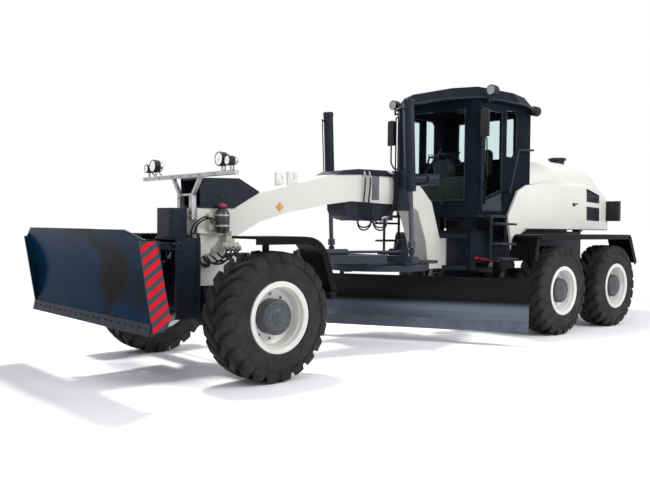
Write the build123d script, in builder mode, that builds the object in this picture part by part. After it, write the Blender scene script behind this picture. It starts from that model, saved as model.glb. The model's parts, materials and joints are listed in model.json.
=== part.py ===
"""Six-wheeled articulated motor grader with a front dozer blade.

Millimetres. +X forward, +Y left, +Z up, origin on the ground in the middle of the machine.
Every "_X" value is measured from the front axle, forward positive.
"""
from build123d import *
import math
import os

os.makedirs("parts", exist_ok=True)

# Layout
FRONT_AXLE_X = 3235
WHEELBASE = 6457
TANDEM_SPACING = 1706
WHEEL_Y = 1205
GAP = 0.3
PIVOT_GAP = 5.5
SIDES = (("left", 1), ("right", -1))

# Wheels
TYRE_R = 690
TYRE_W = 459
TYRE_SIDES = 16
TREAD_R = 640
TREAD_U = 190
SIDEWALL_R = 520
LUG_ROOT_R = 600
LUG_IN_U = 12
LUG_HALF_T = 106
LUG_W = 84
RIM_SEAT_R = 330
FLANGE_R = 380
FLANGE_T = 12
RIM_T = 12
WEB_T = 16
WEB_U = 20
HUB_IN_R = 150
HUB_OUT_R = 190
HUB_IN_U = -110
HUB_OUT_U = 200
HUB_CHAMFER = 22
AXLE_Z = TYRE_R
MID_AXLE_X = -WHEELBASE + TANDEM_SPACING / 2
REAR_AXLE_X = -WHEELBASE - TANDEM_SPACING / 2

# Front axle, knuckles and steering
KINGPIN_Y = 930
KNUCKLE_R = 90
KNUCKLE_H = 260
FORK_R = 85
FORK_T = 50
AXLE_TUBE_R = 115
AXLE_TUBE_END_Y = 780
BOWL_R = 230
BOWL_HALF = 120
BOWL_NOSE = 90
SPINDLE_R = 80
STEER_ARM = 260
TIE_R = 22

# Articulation hitch
HITCH_X = -4300
HITCH_R = 120
HITCH_LOW_Z = 1060
HITCH_TOP_Z = 1480
HITCH_PIN_R = 55
FORK_PLATE_T = 70

# Rear frame
RAIL_Y = 400
RAIL_W = 140
RAIL_LOW_Z = 1100
RAIL_TOP_Z = 1600
RAIL_FRONT_X = -4600
RAIL_REAR_X = -7960

# Tow clevis and lifting eyes
TOW_LOW_Z = 1130
TOW_H = 110
TOW_T = 25
TOW_R = 25.5
EYE_X = -1210
EYE_Y = 120
EYE_Z = 2270
EYE_R = 32
EYE_T = 30

# Gooseneck beam
BEAM_HALF_W = 190
BEAM_T = 380
BOLSTER_HALF_X = 170
BOLSTER_HALF_Y = 150
AXLE_PAD_Z = 860

# Drawbar, circle and moldboard
BALL_X = -300
BALL_Z = 1215
CROSS_HALF_Y = 75
CROSS_HALF_Z = 70
CROSS_R = 62
CROSS_PIN_R = 38
SWING_PIN_R = 30
LUG_T = 40
FORK_T_Z = 25
DRAWBAR_T = 110
DRAWBAR_PLATE_T = 45
CIRCLE_X = -2890
CIRCLE_OUT_R = 760
CIRCLE_IN_R = 620
CIRCLE_TOP_Z = 1120
CIRCLE_T = 80
TEETH = 48
TOOTH_H = 38
TOOTH_DEPTH = 30
SHOE_IN_R = 540
SHOE_LIP_R = 642
SHOE_W = 130
SHOE_LIP_T = 22
PINION_R = 46
BLADE_ANGLE = 31
LEG_S = 600
LEG_T = 36
TIP_N = -400
TIP_Z = 560
MOLD_LEFT = 2135
MOLD_RIGHT = 2015
MOLD_N = -135
MOLD_LOW_Z = 200
MOLD_TOP_Z = 950
MOLD_T = 22
MOLD_SAG = 105
EDGE_H = 150
RAIL_BACK_N = -300

# Lift cylinders
LIFT_X = -2750
LIFT_Y = 800
LIFT_BALL_Z = 1320
LIFT_BALL_R = 45
TRUNNION_Z = 2300
LIFT_TOP_Z = 3350
LIFT_LEAN = 100 / 2000
BARREL_R = 72
LIFT_ROD_R = 32
SADDLE_FRONT_X = -3050
SADDLE_T = 300

# Dozer
COLUMN_FRONT_X = 600
COLUMN_BACK_X = 290
COLUMN_Y = 350
PLATE_T = 20
COLUMN_LOW_Z = 600
COLUMN_TOP_Z = 1470
LINK_X = 560
LINK_LOW_Z = 690
LINK_TOP_Z = 1400
LINK_L = 720
LINK_R = 42
DOZER_HALF = 1410
DOZER_LOW_Z = 620
DOZER_CORNER_Z = 1500
DOZER_TOP_Z = 1590
DOZER_TOP_X = 1625
DOZER_MID_X = 1420
DOZER_LOW_X = 1460

# Cab
CAB_FRONT_X = -4150
CAB_REAR_X = -5550
CAB_HALF_Y = 820
CAB_NOSE_Y = 720
CAB_NOSE_L = 60
CAB_FLOOR_Z = 1800
CAB_TOP_Z = 3560
CAB_WALL = 55
DOOR_FRONT_X = -4250
DOOR_REAR_X = -4815
DOOR_LOW_Z = 1865
DOOR_TOP_Z = 3460
DOOR_T = 45
DOOR_CLEAR = 6
HINGE_R = 14
HINGE_H = 90
HINGE_LEAF = 40
HINGE_Z = (2050, 3250)
GLASS_T = 8

# Hood
HOOD_HALF_Y = 880
HOOD_WALL = 40
HOOD_TOP_HALF_Y = 620
HOOD_LOW_Z = 1640
HOOD_CHAMFER = 55
VENT_DEPTH = 22
SLAT_T = 8
FILLER_R = 100
FILLER_X = -6420
FILLER_Y = 260


def at_x(from_axle):
    """Row X of a distance measured forward from the front axle."""
    return FRONT_AXLE_X + from_axle


def side_plane(y=0):
    """Plane with local x forward and local y up; its normal points right."""
    return Plane(origin=(FRONT_AXLE_X, y, 0), x_dir=(1, 0, 0), z_dir=(0, -1, 0))


def box_between(x0, x1, y0, y1, z0, z1):
    """Box from its corners, X measured from the front axle."""
    with Locations(((at_x(x0) + at_x(x1)) / 2, (y0 + y1) / 2, (z0 + z1) / 2)):
        Box(abs(x1 - x0), abs(y1 - y0), abs(z1 - z0))


def bar(start, end, radius):
    """Round bar between two row points."""
    path = Vector(*end) - Vector(*start)
    with BuildSketch(Plane(origin=start, z_dir=path)) as section:
        Circle(radius)
    extrude(section.sketch, amount=path.length)


def bent_tube(points, radius):
    """Round tube along straight runs between row points, mitred at its bends."""
    with BuildLine() as run:
        Polyline(*points)
    with BuildSketch(Plane(origin=points[0], z_dir=run.line % 0)) as section:
        Circle(radius)
    sweep(section.sketch, path=run.line, transition=Transition.RIGHT)


def plate_from(points, y_mid, thickness, mode=Mode.ADD):
    """Upright plate along X from (x from the axle, z) points, centred on y_mid."""
    with BuildSketch(side_plane(y_mid)) as section:
        Polygon(*points, align=None)
    extrude(section.sketch, amount=thickness / 2, both=True, mode=mode)


def banjo(x, radius, half, nose):
    """Drive housing on an axle: a round bowl along X with a cone at each end."""
    with BuildSketch(side_plane(0)) as section:
        Polygon((x - half - nose, AXLE_Z), (x - half - nose, AXLE_Z + radius / 2),
                (x - half, AXLE_Z + radius), (x + half, AXLE_Z + radius),
                (x + half + nose, AXLE_Z + radius / 2), (x + half + nose, AXLE_Z), align=None)
    revolve(section.sketch, axis=Axis((0, 0, AXLE_Z), (1, 0, 0)))


pieces = {}

# Wheels: name, axle X, side
wheels = (
    ("front_left", 0, 1),
    ("front_right", 0, -1),
    ("mid_left", MID_AXLE_X, 1),
    ("mid_right", MID_AXLE_X, -1),
    ("rear_left", REAR_AXLE_X, 1),
    ("rear_right", REAR_AXLE_X, -1),
)
half_w = TYRE_W / 2
bead = half_w - FLANGE_T - GAP
turn_step = 360 / TYRE_SIDES


def many_sided(u, radius, out):
    """Section of the tyre at u from its middle, its flats radius from the axle."""
    with BuildSketch(Plane(origin=(0, out * u, 0), x_dir=(1, 0, 0), z_dir=(0, out, 0)),
                     mode=Mode.PRIVATE) as cut:
        RegularPolygon(radius, TYRE_SIDES, major_radius=False, rotation=turn_step / 2)
    return cut.sketch


# One tyre: a many-sided carcass with a slanting lug on each flat, on both shoulders
with BuildPart() as tyre_form:
    extrude(many_sided(0, TREAD_R, 1), amount=TREAD_U, both=True)
    for out in (1, -1):
        loft([many_sided(TREAD_U, TREAD_R, out), many_sided(half_w, SIDEWALL_R, out)], ruled=True)
        for step in range(TYRE_SIDES):
            heading = math.radians(90 + step * turn_step)
            radial = Vector(math.cos(heading), 0, math.sin(heading))
            flat = Plane(origin=radial * LUG_ROOT_R, x_dir=(0, out, 0), z_dir=radial)
            lean, width = out * LUG_HALF_T, out * LUG_W
            with BuildSketch(flat):
                Polygon((LUG_IN_U, -lean), (LUG_IN_U, width - lean), (TREAD_U, lean),
                        (TREAD_U, lean - width), align=None)
            extrude(amount=TYRE_R - LUG_ROOT_R)
    extrude(many_sided(0, RIM_SEAT_R + GAP, 1), amount=half_w + 1, both=True, mode=Mode.SUBTRACT)
    for out in (1, -1):
        extrude(many_sided(bead, FLANGE_R + GAP, out), amount=2 * FLANGE_T, mode=Mode.SUBTRACT)

for name, axle_x, side in wheels:
    centre = (at_x(axle_x), side * WHEEL_Y, AXLE_Z)
    across = Plane(origin=centre, x_dir=(0, side, 0), z_dir=(side, 0, 0))
    spin = Axis(centre, (0, 1, 0))
    with BuildPart() as tyre:
        with Locations(centre):
            add(tyre_form.part)
    rim_in = RIM_SEAT_R - RIM_T
    with BuildPart() as rim:
        with BuildSketch(across):
            Polygon(
                (HUB_IN_U, 0),
                (HUB_IN_U, HUB_IN_R),
                (WEB_U, HUB_IN_R),
                (WEB_U, rim_in),
                (-half_w, rim_in),
                (-half_w, FLANGE_R),
                (FLANGE_T - half_w, FLANGE_R),
                (FLANGE_T - half_w, RIM_SEAT_R),
                (half_w - FLANGE_T, RIM_SEAT_R),
                (half_w - FLANGE_T, FLANGE_R),
                (half_w, FLANGE_R),
                (half_w, rim_in),
                (WEB_U + WEB_T, rim_in),
                (WEB_U + WEB_T, HUB_OUT_R),
                (HUB_OUT_U - HUB_CHAMFER, HUB_OUT_R),
                (HUB_OUT_U, HUB_OUT_R - HUB_CHAMFER),
                (HUB_OUT_U, 0),
                align=None,
            )
        revolve(axis=spin)
    pieces["tyre_" + name] = tyre
    pieces["rim_" + name] = rim

# Knuckles with the bracket that carries the front fender
hub_face_y = WHEEL_Y + HUB_IN_U - GAP
FENDER_OUT_Y = 1420
FENDER_IN_Y = 985
FENDER_T = 28
FENDER_TOP_Z = 1530
BRACKET_Y = 905
BRACKET_T = 35
BRACKET_X = -185
BRACKET_W = 70
fender_under_z = FENDER_TOP_Z - FENDER_T
for name, side in SIDES:
    kingpin = (FRONT_AXLE_X, side * KINGPIN_Y, AXLE_Z)
    with BuildPart() as knuckle:
        with Locations(kingpin):
            Cylinder(KNUCKLE_R, KNUCKLE_H)
        bar(kingpin, (FRONT_AXLE_X, side * hub_face_y, AXLE_Z), SPINDLE_R)
        box_between(-STEER_ARM - 40, 0, side * (KINGPIN_Y - 30), side * (KINGPIN_Y + 30),
                    AXLE_Z - 90, AXLE_Z - 50)
        low, high = BRACKET_X - BRACKET_W / 2, BRACKET_X + BRACKET_W / 2
        bracket = side * BRACKET_Y, side * (BRACKET_Y + BRACKET_T)
        box_between(low, -KNUCKLE_R / 2, *bracket, AXLE_Z - 40, AXLE_Z + 60)
        box_between(low, high, *bracket, AXLE_Z - 40, fender_under_z)
        box_between(low, high, side * BRACKET_Y, side * (FENDER_IN_Y + 240),
                    fender_under_z - 40, fender_under_z)
    pieces["knuckle_" + name] = knuckle
    with BuildPart() as fender:
        with BuildSketch(side_plane(side * (FENDER_IN_Y + FENDER_OUT_Y) / 2)):
            with BuildLine() as run:
                FilletPolyline(
                    (310, FENDER_TOP_Z - FENDER_T / 2),
                    (-350, FENDER_TOP_Z - FENDER_T / 2),
                    (-800, 950),
                    (-725, 835),
                    radius=60,
                )
            trace(run.line, line_width=FENDER_T)
        extrude(amount=(FENDER_OUT_Y - FENDER_IN_Y) / 2, both=True)
    pieces["front_fender_" + name] = fender

# Tie rod behind the front axle, just under the two steering arms
tie_z = AXLE_Z - 90 - GAP - TIE_R
with BuildPart() as tie_rod:
    bar((at_x(-STEER_ARM), -KINGPIN_Y, tie_z), (at_x(-STEER_ARM), KINGPIN_Y, tie_z), TIE_R)
pieces["tie_rod"] = tie_rod

# Front axle
with BuildPart() as front_axle:
    bar((FRONT_AXLE_X, -AXLE_TUBE_END_Y, AXLE_Z), (FRONT_AXLE_X, AXLE_TUBE_END_Y, AXLE_Z),
        AXLE_TUBE_R)
    banjo(0, BOWL_R, BOWL_HALF, BOWL_NOSE)
    box_between(-110, 110, -130, 130, AXLE_Z, AXLE_PAD_Z + 80)
    for name, side in SIDES:
        for level in (-1, 1):
            mid = AXLE_Z + level * (KNUCKLE_H / 2 + GAP + FORK_T / 2)
            with Locations((FRONT_AXLE_X, side * KINGPIN_Y, mid)):
                Cylinder(FORK_R, FORK_T)
            box_between(-FORK_R, FORK_R, side * 700, side * KINGPIN_Y,
                        mid - FORK_T / 2, mid + FORK_T / 2)
        box_between(-FORK_R, FORK_R, side * 690, side * AXLE_TUBE_END_Y,
                    AXLE_Z - KNUCKLE_H / 2 - 40, AXLE_Z + KNUCKLE_H / 2 + 40)
pieces["front_axle"] = front_axle

# Gooseneck: side outline of the beam, x from the front axle and z
beam_outline = (
    (230, 1550), (230, 1835), (-260, 1840), (-640, 2040), (-1440, 2230), (-1850, 2330),
    (-2370, 2360), (-3480, 2360), (-3700, 2190), (-3890, 2020), (-4090, 1480),
    (-4150, 1020), (-3830, 1020), (-3760, 1440), (-3570, 1890), (-3430, 1960),
    (-2200, 1990), (-1750, 1930), (-1070, 1810), (-650, 1690), (-300, 1510),
)
pad_top_z = AXLE_PAD_Z + 80
with BuildPart() as front_frame:
    plate_from(beam_outline, 0, BEAM_T)
    box_between(-BOLSTER_HALF_X, BOLSTER_HALF_X, -BOLSTER_HALF_Y, BOLSTER_HALF_Y,
                pad_top_z, 1600)
    for name, side in SIDES:
        box_between(-BOLSTER_HALF_X, BALL_X - 60, side * (CROSS_HALF_Y + GAP),
                    side * (CROSS_HALF_Y + GAP + LUG_T), BALL_Z - 50, BALL_Z + 50)
    with Locations((at_x(BALL_X), 0, BALL_Z)):
        Cylinder(CROSS_PIN_R + 0.05, 2 * (CROSS_HALF_Y + LUG_T) + 10, rotation=(90, 0, 0),
                 mode=Mode.SUBTRACT)
    box_between(-4200, -4100, -100, 100, HITCH_LOW_Z, HITCH_TOP_Z)
    with Locations((at_x(HITCH_X), 0, (HITCH_LOW_Z + HITCH_TOP_Z) / 2)):
        Cylinder(HITCH_R, HITCH_TOP_Z - HITCH_LOW_Z)
        Cylinder(HITCH_PIN_R + 0.05, HITCH_TOP_Z - HITCH_LOW_Z + 20, mode=Mode.SUBTRACT)
    for name, side in SIDES:
        plate_from(((-1290, 2150), (-1130, 2110), (-1130, 2330), (-1290, 2330)),
                   side * EYE_Y, EYE_T)
        with Locations((at_x(EYE_X), side * EYE_Y, EYE_Z)):
            Cylinder(EYE_R, 2 * EYE_T, rotation=(90, 0, 0), mode=Mode.SUBTRACT)
pieces["front_frame"] = front_frame

# Nose box on the beam, open at the front
nose_outline = ((200, 1836), (220, 2180), (-330, 2200), (-640, 2050), (-262, 1842))
with BuildPart() as nose_box:
    plate_from(nose_outline, 0, BEAM_T + 30)
    with BuildSketch(side_plane(0)):
        Polygon((240, 1866), (240, 2155), (-300, 2170), (-380, 1950), (-262, 1866), align=None)
    extrude(amount=BEAM_HALF_W, both=True, mode=Mode.SUBTRACT)
pieces["nose_box"] = nose_box

# Lamp bar on two posts
LAMP_BAR_HALF = 990
LAMP_BAR_Z = 2225
LAMP_POST_Y = 130
LAMP_POST_TOP_Z = 2000
LAMP_STRUT_Y = 300
with BuildPart() as lamp_bar:
    box_between(230.3, 285, -LAMP_BAR_HALF, LAMP_BAR_HALF, LAMP_BAR_Z - 45, LAMP_BAR_Z)
    box_between(245, 270, -LAMP_POST_Y, LAMP_POST_Y, LAMP_POST_TOP_Z - 25, LAMP_POST_TOP_Z)
    for name, side in SIDES:
        box_between(230.3, 290, side * (LAMP_POST_Y - 30), side * (LAMP_POST_Y + 30),
                    1700, LAMP_POST_TOP_Z)
        with BuildSketch(Plane.YZ.offset(at_x(240))):
            Polygon((side * (LAMP_POST_Y - 25), LAMP_POST_TOP_Z - 30),
                    (side * (LAMP_POST_Y + 25), LAMP_POST_TOP_Z - 30),
                    (side * (LAMP_STRUT_Y + 25), LAMP_BAR_Z - 30),
                    (side * (LAMP_STRUT_Y - 25), LAMP_BAR_Z - 30), align=None)
        extrude(amount=40)
        for lamp_y, lamp_r in ((720, 75), (880, 50)):
            bar((at_x(258), side * lamp_y, LAMP_BAR_Z), (at_x(258), side * lamp_y,
                LAMP_BAR_Z + 60), 14)
            bar((at_x(205), side * lamp_y, LAMP_BAR_Z + 55 + lamp_r),
                (at_x(305), side * lamp_y, LAMP_BAR_Z + 55 + lamp_r), lamp_r)
pieces["lamp_bar"] = lamp_bar

# Dozer column: two side plates, a back plate and the mount on the bolster
plate_mid = COLUMN_Y - PLATE_T / 2
LINK_CHEEK = 45
with BuildPart() as dozer_column:
    for name, side in SIDES:
        plate_from(((COLUMN_BACK_X, COLUMN_LOW_Z), (COLUMN_FRONT_X, COLUMN_LOW_Z),
                    (COLUMN_FRONT_X, COLUMN_TOP_Z), (COLUMN_BACK_X, COLUMN_TOP_Z)),
                   side * plate_mid, PLATE_T)
        plate_from(((COLUMN_BACK_X, 1230), (490, 1230), (490, 1390), (COLUMN_BACK_X, 1390)),
                   side * (LINK_CHEEK + 10), 20)
    box_between(COLUMN_BACK_X, COLUMN_BACK_X + 40, -COLUMN_Y, COLUMN_Y,
                COLUMN_LOW_Z, COLUMN_TOP_Z)
    box_between(COLUMN_BACK_X, 470, -COLUMN_Y, COLUMN_Y, COLUMN_TOP_Z, COLUMN_TOP_Z + 30)
    box_between(340, 560, -140, 140, COLUMN_TOP_Z + 30, 1830)
    box_between(BOLSTER_HALF_X, COLUMN_BACK_X, -140, 140, 960, 1520)
pieces["dozer_column"] = dozer_column


def link(z, lug):
    """Dozer link: a plate between two cross tubes, with a lug for the cylinder."""
    tube_half = COLUMN_Y - PLATE_T - GAP
    for x in (LINK_X, LINK_X + LINK_L):
        bar((at_x(x), -tube_half, z), (at_x(x), tube_half, z), LINK_R)
    for side in (1, -1):
        box_between(LINK_X, LINK_X + LINK_L, side * 200, side * 300, z - 25, z + 25)
    if lug:
        box_between(LINK_X + 400, LINK_X + 560, -300, 300, z - 25, z + 25)
        for side in (1, -1):
            box_between(LINK_X + 440, LINK_X + 540, side * LINK_CHEEK,
                        side * (LINK_CHEEK + 20), z, z + 120)
    else:
        box_between(LINK_X + 60, LINK_X + LINK_L - 60, -310, 310, z + 25, z + 45)


with BuildPart() as dozer_lower_link:
    link(LINK_LOW_Z, True)
pieces["dozer_lower_link"] = dozer_lower_link
with BuildPart() as dozer_upper_link:
    link(LINK_TOP_Z, False)
pieces["dozer_upper_link"] = dozer_upper_link

# Dozer blade: curved face, end plates, stiffeners that hold the link pins
with BuildPart() as dozer_blade:
    with BuildSketch(side_plane(0)):
        with BuildLine():
            front = ThreePointArc((DOZER_TOP_X, DOZER_TOP_Z), (DOZER_MID_X, 1060),
                                  (DOZER_LOW_X, DOZER_LOW_Z + 110))
            low = Polyline(front @ 1, (DOZER_LOW_X + 25, DOZER_LOW_Z),
                           (DOZER_LOW_X - 10, DOZER_LOW_Z))
            rise = Line(low @ 1, (DOZER_LOW_X - 22, DOZER_LOW_Z + 110))
            back = ThreePointArc(rise @ 1, (DOZER_MID_X - 22, 1060),
                                 (DOZER_TOP_X - 22, DOZER_TOP_Z + 4))
            Line(back @ 1, front @ 0)
        make_face()
    extrude(amount=DOZER_HALF, both=True)
    for name, side in SIDES:
        with BuildSketch(Plane.YZ.offset(at_x(1300))):
            Polygon((side * DOZER_HALF, DOZER_CORNER_Z), (side * 1120, DOZER_TOP_Z + 10),
                    (side * (DOZER_HALF + 60), DOZER_TOP_Z + 10),
                    (side * (DOZER_HALF + 60), DOZER_CORNER_Z), align=None)
        extrude(amount=400, mode=Mode.SUBTRACT)
        plate_from(((1570, 1495), (1400, 1490), (1290, 780), (1330, 660), (DOZER_LOW_X, 640),
                    (DOZER_MID_X - 10, 1060)), side * (DOZER_HALF - 10), 20)
        plate_from(((1500, 1470), (1235, 1470), (1235, 1330), (1330, 1200), (1330, 880),
                    (1235, 760), (1235, 640), (DOZER_LOW_X - 12, 680), (DOZER_MID_X - 10, 1060)),
                   side * plate_mid, PLATE_T)
    for x0, x1, z in ((1330, 1416, 900), (1370, 1462, 1280)):
        box_between(x0, x1, -DOZER_HALF + 10, DOZER_HALF - 10, z, z + PLATE_T)
pieces["dozer_blade"] = dozer_blade

# Dozer cylinder: barrel on the lower link, rod eye at the column
DOZER_PIN = (LINK_X + 490, LINK_LOW_Z + 80)
DOZER_EYE = (430, 1310)
run_x, run_z = DOZER_EYE[0] - DOZER_PIN[0], DOZER_EYE[1] - DOZER_PIN[1]
dozer_l = math.hypot(run_x, run_z)
along_x, along_z = run_x / dozer_l, run_z / dozer_l


def on_dozer(distance):
    """Row point on the dozer cylinder's axis, from its lower pin."""
    return (at_x(DOZER_PIN[0] + along_x * distance), 0, DOZER_PIN[1] + along_z * distance)


with BuildPart() as dozer_barrel:
    bar(on_dozer(0), on_dozer(580), 40)
    bar((on_dozer(0)[0], -LINK_CHEEK + GAP, on_dozer(0)[2]),
        (on_dozer(0)[0], LINK_CHEEK - GAP, on_dozer(0)[2]), 46)
    with BuildSketch(Plane(origin=on_dozer(60), z_dir=(along_x, 0, along_z))):
        Circle(25.05)
    extrude(amount=540, mode=Mode.SUBTRACT)
pieces["dozer_barrel"] = dozer_barrel
with BuildPart() as dozer_rod:
    bar(on_dozer(180), on_dozer(dozer_l), 25)
    bar((on_dozer(dozer_l)[0], -38, on_dozer(dozer_l)[2]),
        (on_dozer(dozer_l)[0], 38, on_dozer(dozer_l)[2]), 38)
pieces["dozer_rod"] = dozer_rod

# Lift saddle round the beam, its arms and its trunnion bosses
arm_x = LIFT_X - BALL_X
lean = LIFT_LEAN * (TRUNNION_Z - LIFT_BALL_Z)
trunnion_x = LIFT_X + lean
turn_x, turn_y = arm_x, LIFT_Y
turn = math.hypot(turn_x, turn_y)
axis_x, axis_y = turn_x / turn, turn_y / turn
PIN_L = 250
PIN_R = 38
collar_back = SADDLE_FRONT_X - SADDLE_T
with BuildPart() as lift_saddle:
    box_between(SADDLE_FRONT_X, collar_back, -BEAM_HALF_W - 70, BEAM_HALF_W + 70, 1880, 2450)
    box_between(-2250, SADDLE_FRONT_X, -170, 170, 1740, 1999)
    for name, side in SIDES:
        boss = (at_x(trunnion_x + axis_x * PIN_L), side * (LIFT_Y + axis_y * PIN_L), TRUNNION_Z)
        far = (at_x(trunnion_x + axis_x * (PIN_L + 130)),
               side * (LIFT_Y + axis_y * (PIN_L + 130)), TRUNNION_Z)
        bar(boss, far, 70)
        box_between(SADDLE_FRONT_X - 20, SADDLE_FRONT_X - 140, side * BEAM_HALF_W,
                    side * 900, TRUNNION_Z - 70, TRUNNION_Z + 70)
    plate_from(beam_outline, 0, BEAM_T, Mode.SUBTRACT)
pieces["lift_saddle"] = lift_saddle

for name, side in SIDES:
    foot = Vector(at_x(LIFT_X), side * LIFT_Y, LIFT_BALL_Z)
    up = Vector(LIFT_LEAN, 0, 1).normalized()
    eye_h = LIFT_BALL_R + GAP
    barrel_low = TRUNNION_Z - LIFT_BALL_Z - 170
    barrel_top = LIFT_TOP_Z - LIFT_BALL_Z
    with BuildPart() as lift_barrel:
        bar(tuple(foot + up * barrel_low), tuple(foot + up * barrel_top), BARREL_R)
        with BuildSketch(Plane(origin=foot + up * barrel_low, z_dir=up)):
            Circle(LIFT_ROD_R + 0.05)
        extrude(amount=60, mode=Mode.SUBTRACT)
        with BuildSketch(Plane(origin=foot + up * (barrel_low + 60), z_dir=up)):
            Circle(BARREL_R - 12)
        extrude(amount=barrel_top - barrel_low - 90, mode=Mode.SUBTRACT)
        start = Vector(at_x(trunnion_x + axis_x * (BARREL_R - 6)),
                       side * (LIFT_Y + axis_y * (BARREL_R - 6)), TRUNNION_Z)
        stop = Vector(at_x(trunnion_x + axis_x * (PIN_L - GAP)),
                      side * (LIFT_Y + axis_y * (PIN_L - GAP)), TRUNNION_Z)
        bar(tuple(start), tuple(stop), PIN_R)
    pieces["lift_barrel_" + name] = lift_barrel
    with BuildPart() as lift_rod:
        bar(tuple(foot + up * eye_h), tuple(foot + up * (barrel_low + 420)), LIFT_ROD_R)
        bar(tuple(foot + up * eye_h), tuple(foot + up * (eye_h + 90)), LIFT_ROD_R + 22)
        bar(tuple(foot + up * (barrel_low + 380)), tuple(foot + up * (barrel_low + 420)),
            BARREL_R - 12.5)
    pieces["lift_rod_" + name] = lift_rod

# Cross joint that carries the drawbar, and the drawbar
ball_centre = (at_x(BALL_X), 0, BALL_Z)
with BuildPart() as drawbar_ball:
    with Locations(ball_centre):
        Cylinder(CROSS_R, 2 * CROSS_HALF_Z)
        Cylinder(SWING_PIN_R, 2 * (CROSS_HALF_Z + GAP + FORK_T_Z))
        Cylinder(CROSS_PIN_R, 2 * (CROSS_HALF_Y + GAP + LUG_T), rotation=(90, 0, 0))
pieces["drawbar_ball"] = drawbar_ball

drawbar_low = BALL_Z - DRAWBAR_T / 2
drawbar_top = BALL_Z + DRAWBAR_T / 2
plate_low = CIRCLE_TOP_Z + PIVOT_GAP
teeth_top = CIRCLE_TOP_Z - CIRCLE_T + TOOTH_H
tooth_r = CIRCLE_IN_R - TOOTH_DEPTH
shoe_low = CIRCLE_TOP_Z - CIRCLE_T - GAP
shoe_back = math.sqrt((tooth_r - PIVOT_GAP) ** 2 - (SHOE_W / 2) ** 2)
with BuildPart() as drawbar:
    for level in (-1, 1):
        z = BALL_Z + level * (CROSS_HALF_Z + GAP)
        box_between(BALL_X + 60, BALL_X - 260, -60, 60, z, z + level * FORK_T_Z)
    with Locations(ball_centre):
        Cylinder(SWING_PIN_R + 0.05, 4 * CROSS_HALF_Z, mode=Mode.SUBTRACT)
    box_between(BALL_X - 150, BALL_X - 300, -60, 60, BALL_Z - 95, BALL_Z + 95)
    for name, side in SIDES:
        with BuildSketch(Plane.XY.offset(drawbar_low)):
            Polygon((at_x(BALL_X - 200), side * 0), (at_x(BALL_X - 200), side * 75),
                    (at_x(-2300), side * 660), (at_x(-2420), side * 660), (at_x(-2420), side * 520),
                    align=None)
        extrude(amount=DRAWBAR_T)
    with BuildSketch(Plane.XY.offset(plate_low)):
        Polygon((at_x(-2150), 560), (at_x(-2150), -560), (at_x(-3600), -560), (at_x(-3600), 560),
                align=None)
    extrude(amount=DRAWBAR_PLATE_T)
    box_between(LIFT_X - 70, LIFT_X + 70, -LIFT_Y - 70, LIFT_Y + 70, plate_low + 40,
                LIFT_BALL_Z - 70)
    for name, side in SIDES:
        bar((at_x(LIFT_X), side * LIFT_Y, LIFT_BALL_Z - 80),
            (at_x(LIFT_X), side * LIFT_Y, LIFT_BALL_Z), 26)
        with Locations((at_x(LIFT_X), side * LIFT_Y, LIFT_BALL_Z)):
            Sphere(LIFT_BALL_R)
    for quarter in range(4):
        heading = math.radians(quarter * 90)
        radial = Vector(math.cos(heading), math.sin(heading), 0)
        across = Vector(-radial.Y, radial.X, 0)
        with BuildSketch(Plane(origin=Vector(at_x(CIRCLE_X), 0, 0) + across * (SHOE_W / 2),
                               x_dir=radial, z_dir=-across)):
            # Guide shoe: behind the teeth, then a lip under the ring
            Polygon((SHOE_IN_R, plate_low + 20), (SHOE_IN_R, shoe_low - SHOE_LIP_T),
                    (SHOE_LIP_R, shoe_low - SHOE_LIP_T), (SHOE_LIP_R, shoe_low),
                    (shoe_back, shoe_low), (shoe_back, teeth_top + PIVOT_GAP),
                    (CIRCLE_IN_R - GAP, teeth_top + PIVOT_GAP), (CIRCLE_IN_R - GAP, plate_low + 20),
                    align=None)
        extrude(amount=SHOE_W)
    with BuildSketch(Plane.XY.offset(shoe_low)):
        with Locations((at_x(CIRCLE_X), 0)):
            Circle(CIRCLE_OUT_R)
            Circle(CIRCLE_IN_R - GAP, mode=Mode.SUBTRACT)
    extrude(amount=CIRCLE_T + 2 * GAP, mode=Mode.SUBTRACT)
pieces["drawbar"] = drawbar

# Cylinder along the drawbar's left beam: bracket, barrel, rod and rear eye
SIDE_CYL_Z = 1312
side_run = [(at_x(x), 250 + (-1200 - x) * 0.292, SIDE_CYL_Z) for x in (-1200, -1880, -2710)]
with BuildPart() as side_cylinder:
    bar(side_run[0], side_run[1], 40)
    bar(side_run[1], side_run[2], 18)
    for (x, y, z), low, half in ((side_run[0], drawbar_top, 36), (side_run[2],
                                 LIFT_BALL_Z - 70, 27)):
        with Locations((x, y, (low + GAP + z + 20) / 2)):
            Box(2 * half, 2 * half, z + 20 - low - GAP)
pieces["side_cylinder"] = side_cylinder

drive_x = CIRCLE_X - (tooth_r - PIVOT_GAP - PINION_R)
plate_top = plate_low + DRAWBAR_PLATE_T
with BuildPart() as circle_drive:
    with Locations((at_x(drive_x), 0, plate_top + 110)):
        Cylinder(105, 220)
        with Locations((0, 0, 110 + 35)):
            Cylinder(60, 70)
    bar((at_x(drive_x + 90), 0, plate_top + 105), (at_x(drive_x + 230), 0, plate_top + 105), 55)
pieces["circle_drive"] = circle_drive

# Circle with its two legs; n is forward and s left in the blade's own frame
angle = math.radians(BLADE_ANGLE)
ahead = Vector(math.cos(angle), math.sin(angle), 0)
left = Vector(-math.sin(angle), math.cos(angle), 0)
circle_centre = Vector(at_x(CIRCLE_X), 0, 0)


def blade_plane(s):
    """Plane square to the blade at s along it: local x ahead, local y up."""
    return Plane(origin=circle_centre + left * s, x_dir=ahead, z_dir=-left)


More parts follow.
